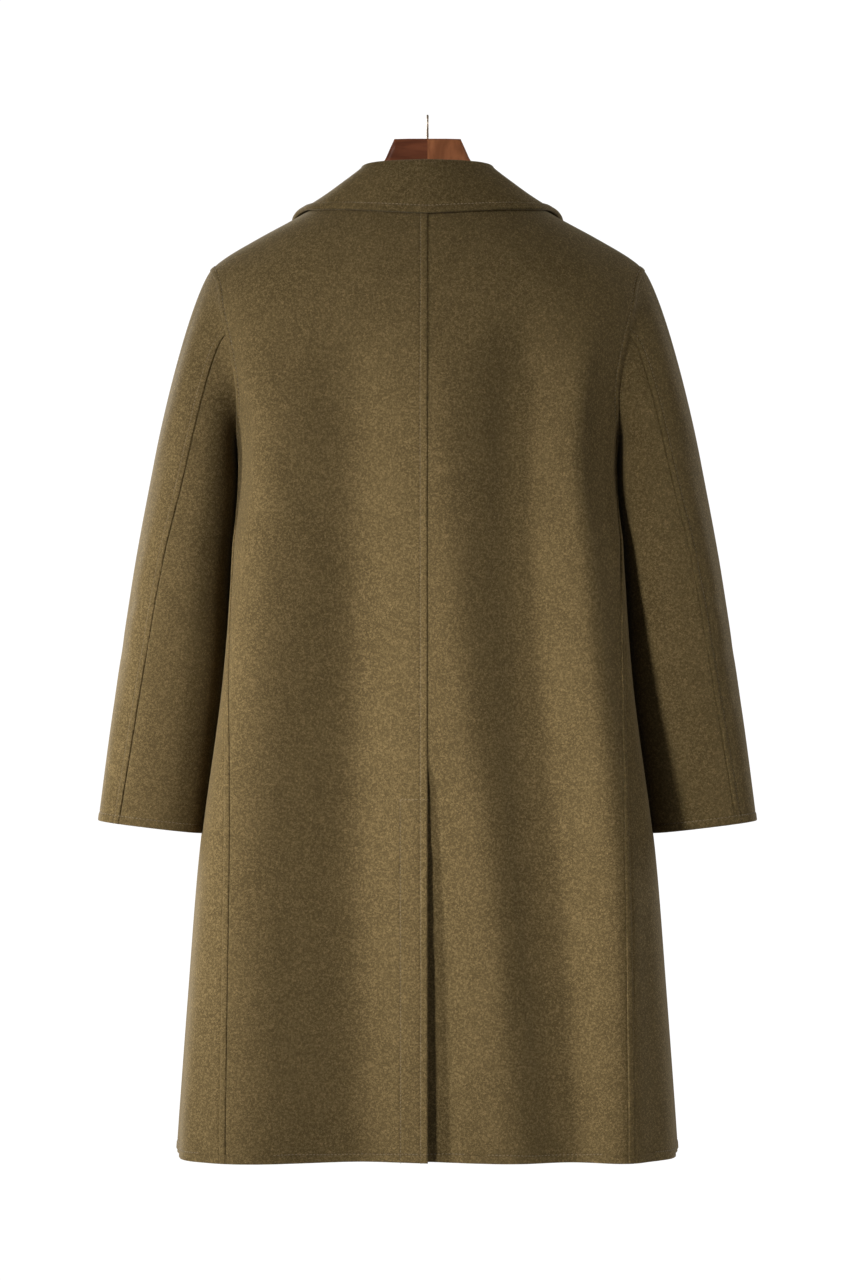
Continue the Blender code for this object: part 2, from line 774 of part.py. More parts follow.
def collar_angle(share, row):
    """Angle round the neck of one collar point; the ends of the fall are cut back to points."""
    cut = COLLAR_CUT_DEG * smoothstep(0.5, 1.0, row / COLLAR_STEPS) * smoothstep(0.6, 1.0, abs(share))
    return share * COLLAR_END_DEG - math.copysign(cut, share)


def build_collar():
    """Turned-down collar, one folded wall round the neck with its ends at the centre front."""
    lines = []
    for share in spaced(-1.0, 1.0, COLLAR_COLUMNS):
        angles = [collar_angle(share, row) for row in range(COLLAR_STEPS + 1)]
        lines.append([collar_profile(angle)[row] for row, angle in enumerate(angles)])
    sheet = Sheet()
    for column, line in enumerate(lines):
        before = lines[max(0, column - 1)]
        after = lines[min(len(lines) - 1, column + 1)]
        for row, point in enumerate(line):
            round_way = after[row] - before[row]
            along_way = line[min(COLLAR_STEPS, row + 1)] - line[max(0, row - 1)]
            sheet.add((column, row), point, round_way.cross(along_way).normalized())
    sheet.fill(list(range(len(lines))), list(range(COLLAR_STEPS + 1)))
    return sheet.wall("collar", "wool", COLLAR_WALL / 2.0, COLLAR_WALL / 2.0)


def build_buttons():
    """Flat round buttons down the centre front, standing just off the left front."""
    for number, z in enumerate(BUTTON_HEIGHTS, start=1):
        outward = body_normal(180.0, z)
        centre = body_point(180.0, z) + outward * (SEAM_GAP + BUTTON_THICKNESS / 2.0)
        mesh = bmesh.new()
        bmesh.ops.create_cone(mesh, cap_ends=True, segments=BUTTON_SIDES, radius1=BUTTON_RADIUS,
                              radius2=BUTTON_RADIUS, depth=BUTTON_THICKNESS)
        turn = outward.to_track_quat("Z", "Y").to_matrix().to_4x4()
        bmesh.ops.transform(mesh, matrix=turn, verts=mesh.verts)
        bmesh.ops.translate(mesh, vec=centre, verts=mesh.verts)
        finish_object(f"button_{number}", mesh, "horn")


def shoulder_line(reach):
    """Height and slope of the shoulder's cloth at a reach from the centre."""
    low = SHOULDER_TIP_Z - 0.004
    high = BODY_ROWS[0].z
    for _ in range(40):
        middle = (low + high) / 2.0
        if read_rows(BODY_ROWS, "z", middle).half_width > reach:
            low = middle
        else:
            high = middle
    step = 0.002
    change = (read_rows(BODY_ROWS, "z", low - step).half_width
              - read_rows(BODY_ROWS, "z", low + step).half_width)
    return low, math.atan2(2.0 * step, change)


def wood_ring(side, row):
    """Rounded section of the hanger at one reach, in a level plane across it."""
    top = row.top_z
    if top is None:
        height, slope = shoulder_line(row.reach)
        top = height - (WALL + WOOD_SEAT) / math.cos(slope)
    ring = []
    for step in range(WOOD_SIDES):
        angle = 2.0 * math.pi * step / WOOD_SIDES
        across = math.copysign(abs(math.sin(angle)) ** 0.6, math.sin(angle))
        upward = math.cos(angle)
        z = top - row.height / 2.0 * (1.0 - upward)
        ring.append(Vector((side * row.reach, row.half_thickness * across, z)))
    return ring


def build_hanger(side, name):
    """One wooden half of the hanger, from the centre joint to the shoulder end."""
    mesh = bmesh.new()
    rings = [[mesh.verts.new(point) for point in wood_ring(side, row)] for row in WOOD_ROWS]
    bridge_rings(mesh, rings)
    finish_object(name, mesh, "wood")


def bridge_rings(mesh, rings):
    """Skin a row of rings and cap both ends."""
    count = len(rings[0])
    for ring, following in zip(rings[:-1], rings[1:]):
        for step in range(count):
            after = (step + 1) % count
            mesh.faces.new((ring[step], ring[after], following[after], following[step]))
    mesh.faces.new(rings[0])
    mesh.faces.new(rings[-1])


def hook_line():
    """Middle line of the wire: stem, swing to the back, over the rail and down the front."""
    radius = HOOK_INNER_RADIUS + WIRE_RADIUS
    centre = Vector((0.0, 0.0, -HOOK_INNER_RADIUS))
    corners = [
        Vector((0.0, 0.0, WOOD_TOP_Z + SEAM_GAP)),
        Vector((0.0, 0.0, WOOD_TOP_Z + 0.0030)),
        Vector((0.0, -radius * 0.45, WOOD_TOP_Z + 0.0062)),
    ]
    for degrees in range(-115, 111, 25):
        angle = math.radians(degrees)
        corners.append(centre + Vector((0.0, math.sin(angle), math.cos(angle))) * radius)
    return smooth_line(corners, HOOK_STEPS)


def build_hook():
    """Bent wire hook standing on the hanger's neck, in the plane across the shoulders."""
    line = hook_line()
    side_way = Vector((1.0, 0.0, 0.0))
    mesh = bmesh.new()
    rings = []
    for index, point in enumerate(line):
        along = (line[min(len(line) - 1, index + 1)] - line[max(0, index - 1)]).normalized()
        cross_way = side_way.cross(along).normalized()
        ring = []
        for step in range(WIRE_SIDES):
            angle = 2.0 * math.pi * step / WIRE_SIDES
            offset = side_way * math.cos(angle) + cross_way * math.sin(angle)
            ring.append(mesh.verts.new(point + offset * WIRE_RADIUS))
        rings.append(ring)
    bridge_rings(mesh, rings)
    finish_object("hook", mesh, "wire")


def build_coat():
    """Build every piece of the coat and its hanger."""
    ring = BACK_ROWS + UNDERARM_COLUMNS + FRONT_ROWS
    for side, word in ((-1, "left"), (1, "right")):
        build_back(side, f"back_{word}")
        build_front(side, f"front_{word}")
        build_sleeve(side, FRONT_SLEEVE_SEAM, ring + BACK_SLEEVE_SEAM, f"top_sleeve_{word}")
        build_sleeve(side, BACK_SLEEVE_SEAM, FRONT_SLEEVE_SEAM, f"under_sleeve_{word}")
        build_hanger(side, f"hanger_{word}")
    build_collar()
    build_buttons()
    build_hook()


for leftover in list(bpy.data.objects):
    bpy.data.objects.remove(leftover, do_unlink=True)
build_coat()
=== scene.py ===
"""Wool coat on a wooden hanger: fine cloth, sewing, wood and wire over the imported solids.

Metres, +Z up. The coat faces +Y, so its back is seen along +Y and the wearer's left is at -X.
The origin is the underside of the hook's bend.
"""
from __future__ import annotations

import logging
import math
from dataclasses import dataclass, fields
from enum import Enum
from typing import Any, Callable, Sequence, Union

import bpy
import numpy as np
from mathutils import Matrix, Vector
from mathutils.bvhtree import BVHTree
from mathutils.kdtree import KDTree

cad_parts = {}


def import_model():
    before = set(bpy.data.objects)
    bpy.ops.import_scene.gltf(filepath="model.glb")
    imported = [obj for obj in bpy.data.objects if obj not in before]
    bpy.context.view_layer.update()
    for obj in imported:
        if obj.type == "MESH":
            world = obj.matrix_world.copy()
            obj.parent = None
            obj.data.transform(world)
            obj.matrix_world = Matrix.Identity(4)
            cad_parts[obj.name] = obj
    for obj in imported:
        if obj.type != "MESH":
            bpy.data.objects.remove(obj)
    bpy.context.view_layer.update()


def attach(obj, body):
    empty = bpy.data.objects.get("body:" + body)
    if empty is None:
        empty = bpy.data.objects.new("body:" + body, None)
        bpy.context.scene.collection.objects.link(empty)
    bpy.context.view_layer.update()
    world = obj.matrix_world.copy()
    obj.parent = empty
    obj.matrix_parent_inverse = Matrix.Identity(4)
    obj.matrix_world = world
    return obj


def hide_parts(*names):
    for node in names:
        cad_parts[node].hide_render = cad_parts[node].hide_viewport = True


logging.basicConfig(level=logging.INFO, format="%(message)s")
LOG = logging.getLogger("coat")

Array = np.ndarray
Colour = tuple[float, float, float, float]
Number = Union[float, Array]


class Side(Enum):
    """Side of the coat as the wearer has it."""

    LEFT = -1
    RIGHT = 1

    @property
    def word(self) -> str:
        """Name of the side inside a piece's name."""
        return self.name.lower()

    def facing(self, grid: Array) -> Array:
        """Grid with its columns in the order that turns its faces outwards on this side."""
        return grid[:, ::-1] if self is Side.LEFT else grid


class Lie(Enum):
    """How a body panel lies against its neighbour."""

    FREE = "free"
    UNDER_VENT = "under the vent"
    UNDER_FRONT = "under the other front"


def smoothstep(start: float, end: float, value: Number) -> Array:
    """Ease from 0 to 1.

    Args:
        start: Value that gives 0.
        end: Value that gives 1.
        value: Values to ease.

    Returns:
        The eased shares.
    """
    share = np.clip((np.asarray(value, dtype=float) - start) / (end - start), 0.0, 1.0)
    return share * share * (3.0 - 2.0 * share)


def unit(vectors: Array) -> Array:
    """Scale vectors to length 1."""
    return vectors / np.maximum(np.linalg.norm(vectors, axis=-1, keepdims=True), 1e-12)


def hermite(low: Array, high: Array, leave: Array, arrive: Array, share: Array) -> Array:
    """Cubic between two values with given end slopes.

    Args:
        low: Values at share 0.
        high: Values at share 1.
        leave: Slopes at share 0.
        arrive: Slopes at share 1.
        share: Places between the two.

    Returns:
        The values at those places.
    """
    return (
        low * ((1 + 2 * share) * (1 - share) ** 2)
        + high * (share ** 2 * (3 - 2 * share))
        + leave * (share * (1 - share) ** 2)
        - arrive * (share ** 2 * (1 - share))
    )


class SmoothTable:
    """Smooth curves through the rows of a short table, read by one of its columns."""

    def __init__(self, rows: Sequence[Any], key: str) -> None:
        """Keep the rows in the order of their key.

        Args:
            rows: Dataclass rows, all of one kind.
            key: Name of the column to read by.
        """
        ordered = sorted(rows, key=lambda row: getattr(row, key))
        self.columns = {
            column.name: np.array([getattr(row, column.name) for row in ordered], dtype=float)
            for column in fields(ordered[0])
        }
        self.keys = self.columns[key]

    def read(self, column: str, value: Number) -> Array:
        """Read one column.

        Args:
            column: Name of the column.
            value: Keys to read at, held to the table's range.

        Returns:
            The column's values there.
        """
        keys = self.keys
        data = self.columns[column]
        last = len(keys) - 1
        value = np.clip(np.asarray(value, dtype=float), keys[0], keys[-1])
        index = np.clip(np.searchsorted(keys, value, side="left") - 1, 0, last - 1)
        before = np.maximum(index - 1, 0)
        after = np.minimum(index + 2, last)
        span = keys[index + 1] - keys[index]
        low = data[index]
        high = data[index + 1]
        leave = span * (high - data[before]) / (keys[index + 1] - keys[before])
        arrive = span * (data[after] - low) / (keys[after] - keys[index])
        return hermite(low, high, leave, arrive, (value - keys[index]) / span)


@dataclass(frozen=True)
class BodySection:
    """Level section of the body: a rounded oval, squarer as squareness grows past 2."""

    z: float
    half_width: float
    back_depth: float
    front_depth: float
    squareness: float


BODY_SECTIONS = (
    BodySection(-0.062, 0.060, 0.058, 0.052, 2.00),
    BodySection(-0.073, 0.078, 0.064, 0.058, 2.00),
    BodySection(-0.092, 0.1105, 0.074, 0.067, 2.00),
    BodySection(-0.112, 0.1455, 0.085, 0.077, 2.00),
    BodySection(-0.134, 0.186, 0.097, 0.088, 2.05),
    BodySection(-0.156, 0.2225, 0.106, 0.098, 2.15),
    BodySection(-0.172, 0.2385, 0.111, 0.103, 2.25),
    BodySection(-0.205, 0.2405, 0.118, 0.112, 2.40),
    BodySection(-0.243, 0.2374, 0.122, 0.119, 2.50),
    BodySection(-0.311, 0.2188, 0.123, 0.124, 2.60),
    BodySection(-0.375, 0.2070, 0.122, 0.126, 2.95),
    BodySection(-0.480, 0.2125, 0.118, 0.124, 3.70),
    BodySection(-0.600, 0.2200, 0.116, 0.122, 4.40),
    BodySection(-0.710, 0.2350, 0.116, 0.122, 4.60),
    BodySection(-0.800, 0.2475, 0.118, 0.123, 4.50),
    BodySection(-0.960, 0.2600, 0.121, 0.125, 4.30),
    BodySection(-1.127, 0.2720, 0.125, 0.128, 4.00),
)


@dataclass(frozen=True)
class Fold:
    """Soft vertical trough (depth above 0) or ridge (below 0), by its angle round the body."""

    angle_top: float
    angle_hem: float
    spread: float
    depth_top: float
    depth_hem: float


FOLDS = (
    Fold(-23.4, -14.8, 12.5, 0.0150, 0.0180),
    Fold(24.5, 28.8, 8.2, 0.0140, 0.0130),
    Fold(-47.0, -37.0, 9.2, -0.0075, -0.0128),
    Fold(-0.8, 22.5, 7.2, -0.0024, -0.0084),
    Fold(43.0, 40.0, 5.2, -0.0090, -0.0110),
    Fold(-49.0, -52.0, 8.5, -0.0025, -0.0075),
    Fold(-78.0, -72.0, 8.0, 0.0010, 0.0040),
    Fold(80.0, 74.0, 8.0, 0.0010, 0.0050),
    Fold(-126.0, -130.0, 9.0, 0.0040, 0.0080),
    Fold(129.0, 133.0, 9.0, 0.0040, 0.0075),
    Fold(-104.0, -103.0, 7.0, -0.0010, -0.0035),
    Fold(106.0, 104.0, 7.0, -0.0010, -0.0035),
)


@dataclass(frozen=True)
class SeamSection:
    """Distance of the side-back seam from the centre at one height."""

    z: float
    reach: float


SIDE_SEAM = (
    SeamSection(-0.480, 0.2035),
    SeamSection(-0.700, 0.2035),
    SeamSection(-0.860, 0.2055),
    SeamSection(-1.127, 0.2096),
)


@dataclass(frozen=True)
class NeckSection:
    """Collar and neckline at one angle round the neck, measured from the centre back."""

    angle: float
    neckline_z: float
    stand_height: float
    stand_lean: float
    edge_z: float


NECK_SECTIONS = (
    NeckSection(0.0, -0.0850, 0.0305, 0.0060, -0.1150),
    NeckSection(50.0, -0.0800, 0.0238, 0.0095, -0.1085),
    NeckSection(90.0, -0.0745, 0.0098, 0.0120, -0.1085),
    NeckSection(130.0, -0.0950, 0.0190, 0.0080, -0.1330),
    NeckSection(165.0, -0.1230, 0.0250, 0.0050, -0.1820),
    NeckSection(180.0, -0.1290, 0.0260, 0.0040, -0.1700),
)


@dataclass(frozen=True)
class SleeveSection:
    """Sleeve section: outer and inner edge as reach and height, depth, and its back seam."""

    place: float
    outer_reach: float
    outer_z: float
    inner_reach: float
    inner_z: float
    centre_y: float
    half_depth: float
    back_seam_deg: float


SLEEVE_SECTIONS = (
    SleeveSection(0, 0.2970, -0.3740, 0.2115, -0.4000, -0.002, 0.072, 78.0),
    SleeveSection(1, 0.3172, -0.4800, 0.2148, -0.4940, 0.000, 0.067, 68.0),
    SleeveSection(2, 0.3335, -0.5810, 0.2213, -0.5950, 0.006, 0.060, 63.0),
    SleeveSection(3, 0.3480, -0.6790, 0.2343, -0.6930, 0.013, 0.053, 60.0),
    SleeveSection(4, 0.3600, -0.7670, 0.2470, -0.7810, 0.020, 0.046, 57.0),
)


@dataclass(frozen=True)
class ClothSizes:
    """Cloth, seam and edge sizes that every sewn piece shares."""

    wall: float = 0.0028
    collar_wall: float = 0.0032
    seam_gap: float = 0.0003
    seam_press: float = 0.0003
    edge_round: float = 0.0014
    edge_share: float = 0.30
    strip_rise: float = 0.0008
    strip_fall: float = 0.0012
    groove_width: float = 0.0009
    crease_step: float = 0.0020
    pitch: float = 0.0048


CLOTH = ClothSizes()


@dataclass(frozen=True)
class BodyForm:
    """Surface of the coat's body, from the hem to the neckline."""

    hem_z: float = -1.127
    vent_top_z: float = -0.740
    underarm_z: float = -0.375
    tip_z: float = -0.168
    back_armhole: float = 0.065
    front_armhole: float = 0.062
    shoulder_ease: float = 0.038
    ease_start_deg: float = 3.0
    ease_full_deg: float = 35.0
    front_overlap: float = 0.030
    vent_underlap: float = 0.036
    vent_depth_top: float = 0.0043
    vent_depth_hem: float = 0.013
    vent_opening: float = 0.05
    vent_softness: float = 18.0
    front_tuck: float = 0.0036
    tuck_start_deg: float = 150.0
    tuck_full_deg: float = 166.0
    side_seam_share: float = 0.7105
    fold_start_z: float = -0.17
    fold_full_z: float = -0.34
    crease_levels: int = 80

    SECTIONS = SmoothTable(BODY_SECTIONS, "z")
    NECK = SmoothTable(NECK_SECTIONS, "angle")

    def fold_depth(self, angle: Array, z: Array) -> Array:
        """How far the folds draw the cloth in.

        Args:
            angle: Signed angles from the centre back.
            z: Heights.

        Returns:
            Depths, above 0 inwards.
        """
        drop = (z - self.fold_start_z) / (self.hem_z - self.fold_start_z)
        depth = np.zeros(np.broadcast(angle, z).shape)
        for fold in FOLDS:
            centre = fold.angle_top + (fold.angle_hem - fold.angle_top) * drop
            away = (angle - centre + 180.0) % 360.0 - 180.0
            here = fold.depth_top + (fold.depth_hem - fold.depth_top) * drop
            depth = depth + here * np.exp(-((away / fold.spread) ** 2))
        return depth * smoothstep(self.fold_start_z, self.fold_full_z, z)

    def eased_half_width(self, angle: Array, z: Array) -> Array:
        """Half width, sharp at the shoulder points and eased towards the middle.

        Args:
            angle: Signed angles from the centre back.
            z: Heights.

        Returns:
            Half widths.
        """
        here = self.SECTIONS.read("half_width", z)
        ease = np.minimum(self.shoulder_ease, np.maximum(0.0, BODY_SECTIONS[0].z - z))
        above = self.SECTIONS.read("half_width", z + ease)
        below = self.SECTIONS.read("half_width", z - ease)
        from_side = np.abs(90.0 - np.abs(angle) % 180.0)
        share = smoothstep(self.ease_start_deg, self.ease_full_deg, from_side)
        return here + share * ((above + below - 2.0 * here) / 3.0)

    def tuck(self, lie: Lie, angle: Array, z: Array) -> Array:
        """How far a panel lies under its neighbour.

        Args:
            lie: How the panel lies.
            angle: Angles from the centre back, above 0 on the panel's own side.
            z: Heights.

        Returns:
            Depths below the body's surface.
        """
        if lie is Lie.UNDER_VENT:
            opening_z = self.vent_top_z + self.vent_opening
            opening = smoothstep(opening_z, self.vent_top_z, z) * self.vent_depth_top
            drop = np.maximum(0.0, (self.vent_top_z - z) / (self.vent_top_z - self.hem_z))
            depth = opening + (self.vent_depth_hem - self.vent_depth_top) * drop
            return depth * (1.0 - smoothstep(1.0, self.vent_softness, angle))
        if lie is Lie.UNDER_FRONT:
            return self.front_tuck * smoothstep(self.tuck_start_deg, self.tuck_full_deg, angle)
        return np.zeros(np.broadcast(angle, z).shape)

    def point(self, side: Side, angle: Array, z: Array, lie: Lie = Lie.FREE) -> Array:
        """Outer cloth points of the body.

        Args:
            side: Side that the angles count towards.
            angle: Angles from the centre back.
            z: Heights.
            lie: How the panel lies.

        Returns:
            Points, with x, y and z last.
        """
        angle, z = np.broadcast_arrays(np.asarray(angle, float), np.asarray(z, float))
        signed = side.value * angle
        sine = np.sin(np.radians(signed))
        cosine = np.cos(np.radians(signed))
        power = self.SECTIONS.read("squareness", z)
        swell = (np.abs(sine) ** power + np.abs(cosine) ** power) ** (-1.0 / power)
        depth = np.where(
            cosine > 0, self.SECTIONS.read("back_depth", z), self.SECTIONS.read("front_depth", z)
        )
        half_width = self.eased_half_width(signed, z)
        x = half_width * swell * sine
        y = -depth * swell * cosine
        outward = unit(np.stack((x / half_width ** 2, y / depth ** 2, np.zeros_like(x)), axis=-1))
        drawn = self.tuck(lie, angle, z) + self.fold_depth(signed, z)
        return np.stack((x, y, z), axis=-1) - outward * drawn[..., None]

    def normal(self, side: Side, angle: Array, z: Array, lie: Lie = Lie.FREE) -> Array:
        """Outward directions of the body's cloth.

        Args:
            side: Side that the angles count towards.
            angle: Angles from the centre back.
            z: Heights.
            lie: How the panel lies.

        Returns:
            Unit vectors.
        """
        turn = 0.25
        rise = 0.001
        round_way = self.point(side, angle + turn, z, lie) - self.point(side, angle - turn, z, lie)
        up_way = self.point(side, angle, z + rise, lie) - self.point(side, angle, z - rise, lie)
        return unit(np.cross(round_way, up_way)) * side.value

    def angle_at_reach(self, reach: Array, z: Array) -> Array:
        """Angle from the centre back where the back stands this far from the centre.

        Args:
            reach: Distances along X.
            z: Heights.

        Returns:
            Angles in degrees.
        """
        power = self.SECTIONS.read("squareness", z)
        share = np.minimum(0.9999, reach / self.SECTIONS.read("half_width", z))
        return np.degrees(np.arctan2(1.0, (share ** -power - 1.0) ** (1.0 / power)))

    def angle_at_depth(self, depth: Array, z: Array) -> Array:
        """Angle from the centre back where the body lies this far back (-) or forward (+).

        Args:
            depth: Distances along +Y.
            z: Heights.

        Returns:
            Angles in degrees.
        """
        power = self.SECTIONS.read("squareness", z)
        half = np.where(
            depth < 0, self.SECTIONS.read("back_depth", z), self.SECTIONS.read("front_depth", z)
        )
        share = np.clip(np.abs(depth) / half, 1e-6, 0.9999)
        angle = np.degrees(np.arctan((share ** -power - 1.0) ** (1.0 / power)))
        return np.where(depth < 0, angle, 180.0 - angle)

    def armhole(self, share: Array, reach: Number) -> tuple[Array, Array]:
        """Armhole from the shoulder tip (0) to the underarm (1).

        Args:
            share: Places along it.
            reach: Widest distance from the middle, below 0 on the back.

        Returns:
            Angles and heights.
        """
        share = np.asarray(share, float)
        z = self.tip_z + (self.underarm_z - self.tip_z) * (1.0 - np.cos(np.pi * share)) / 2.0
        return self.angle_at_depth(reach * np.sin(np.pi * share), z), z

    def seam_top(self) -> tuple[Array, Array]:
        """Angle and height at which the side-back seam meets the armhole."""
        return self.armhole(np.array(self.side_seam_share), -self.back_armhole)

    def side_seam_angle(self, z: Array) -> Array:
        """Angle of the side-back seam, from the armhole down to the hem.

        Args:
            z: Heights.

        Returns:
            Angles from the centre back.
        """
        top_angle, top_z = self.seam_top()
        power = self.SECTIONS.read("squareness", top_z)
        spread = (1.0 + np.tan(np.radians(top_angle)) ** -power) ** (-1.0 / power)
        reach = float(self.SECTIONS.read("half_width", top_z) * spread)
        table = SmoothTable(SIDE_SEAM + (SeamSection(float(top_z), reach),), "z")
        return self.angle_at_reach(table.read("reach", z), z)

    def neck(self, column: str, angle: Array) -> Array:
        """Read one neck size at angles from the centre back."""
        return self.NECK.read(column, 180.0 - np.abs(180.0 - np.abs(angle)))

    def shoulder_height(self, angle: Array, rise: Array) -> Array:
        """Height, a share of the way from the shoulder tip's level up to the neckline."""
        return self.tip_z + rise * (self.neck("neckline_z", angle) - self.tip_z)

    def crease_points(self, crease: Crease) -> Array:
        """Points of a crease on the body.

        Args:
            crease: The crease.

        Returns:
            Closely spaced points.
        """
        x, z = np.array(crease.path).T
        levels = np.linspace(z[0], z[-1], self.crease_levels)
        reach = np.interp(-levels, -z, x)
        angle = self.angle_at_reach(np.abs(reach), levels)
        angle = np.sign(reach) * (180.0 - angle if crease.front else angle)
        return self.point(Side.RIGHT, angle, levels)

    def half_gap(self, angle: Array, z: Array) -> Array:
        """Angle, below 0, by which two panels press together at a seam of the body.

        Args:
            angle: Angles of the seam.
            z: Its heights.

        Returns:
            Angles in degrees.
        """
        ahead = self.point(Side.RIGHT, angle + 0.5, z)
        behind = self.point(Side.RIGHT, angle - 0.5, z)
        return -0.5 * CLOTH.seam_press / np.linalg.norm(ahead - behind, axis=-1)


@dataclass(frozen=True)
class Strip:
    """Strip of doubled cloth along an edge, held down by a line of stitches."""

    edge: str
    width: float
    height: float = 0.0009
    groove: float = 0.0007


@dataclass(frozen=True)
class Crease:
    """Soft trough (depth above 0) or ridge; its path goes by x and z, or by a sleeve's across and along."""

    path: tuple[tuple[float, float], ...]
    width: float
    depth: float
    front: bool = False


BODY_CREASES = (
    Crease(
        ((-0.080, -0.27), (-0.083, -0.50), (-0.086, -0.70), (-0.081, -0.90), (-0.079, -1.12)),
        0.036,
        0.0044,
    ),
    Crease(
        ((0.095, -0.27), (0.098, -0.45), (0.108, -0.60), (0.118, -0.76), (0.130, -0.92), (0.141, -1.12)),
        0.034,
        0.0044,
    ),
    Crease(
        ((0.014, -0.30), (0.020, -0.50), (0.028, -0.70), (0.040, -0.90), (0.050, -1.12)), 0.030, -0.0020
    ),
    Crease(((-0.163, -0.36), (-0.168, -0.60), (-0.172, -0.90), (-0.170, -1.12)), 0.027, -0.0016),
    Crease(((-0.198, -0.47), (-0.203, -0.60), (-0.208, -0.80), (-0.213, -1.12)), 0.032, -0.0042),
    Crease(((0.199, -0.47), (0.204, -0.60), (0.209, -0.80), (0.214, -1.12)), 0.032, -0.0050),
    Crease(((-0.185, -0.33), (-0.150, -0.37), (-0.118, -0.44)), 0.014, 0.0010),
    Crease(((0.186, -0.34), (0.158, -0.38), (0.130, -0.46)), 0.013, 0.0009),
    Crease(((-0.112, -0.36), (-0.120, -0.62), (-0.132, -0.88), (-0.140, -1.12)), 0.030, 0.0032, True),
    Crease(((0.118, -0.38), (0.122, -0.60), (0.128, -0.86), (0.146, -1.12)), 0.028, 0.0030, True),
    Crease(((-0.060, -0.50), (-0.066, -0.80), (-0.072, -1.12)), 0.026, -0.0015, True),
    Crease(((-0.180, -0.33), (-0.140, -0.38), (-0.100, -0.47)), 0.014, 0.0011, True),
    Crease(((0.182, -0.34), (0.150, -0.39), (0.112, -0.46)), 0.014, 0.0010, True),
)
VENT_CREASES = (
    Crease(((0.002, -0.80), (0.003, -1.12)), 0.014, 0.0022),
    Crease(((0.002, -0.92), (0.003, -1.12)), 0.015, 0.0020),
)


def edge_lines(width: float = 0.0066) -> list[float]:
    """Distances from an edge at which a grid needs lines: its rounding, then its stitches.

    Args:
        width: Distance of the line of stitches.

    Returns:
        Rising distances.
    """
    rounding = [0.0, 0.00035, 0.0008, 0.0015, 0.0027]
    beside = (-0.0024, -0.0012, -0.0006, 0.0, 0.0006, 0.0014, 0.0028, 0.0054)
    clear_of_rounding = 0.0033
    return rounding + [width + step for step in beside if width + step > clear_of_rounding]


def rulings(
    length: float, near: Sequence[float], far: Sequence[float], marks: Sequence[float] = ()
) -> Array:
    """Distances along a length: fine at both ends and at marks, evenly spaced between.

    Args:
        length: Whole length.
        near: Fine distances from the start.
        far: Fine distances from the end.
        marks: Places in between with fine distances on both sides.

    Returns:
        Rising distances from 0 to length.
    """
    beside = (-0.003, -0.0014, -0.0006, 0.0, 0.0006, 0.0014, 0.003)
    least = 0.00025
    fine = list(near) + [length - step for step in far]
    for mark in marks:
        fine += [mark + step for step in beside]
    even = np.linspace(0.0, length, int(length / CLOTH.pitch) + 2)
    gaps = np.abs(even[:, None] - np.array(fine)[None, :]).min(axis=1)
    every = np.sort(np.concatenate((fine, even[gaps > 0.4 * CLOTH.pitch])))
    return every[np.concatenate(([True], np.diff(every) > least))]


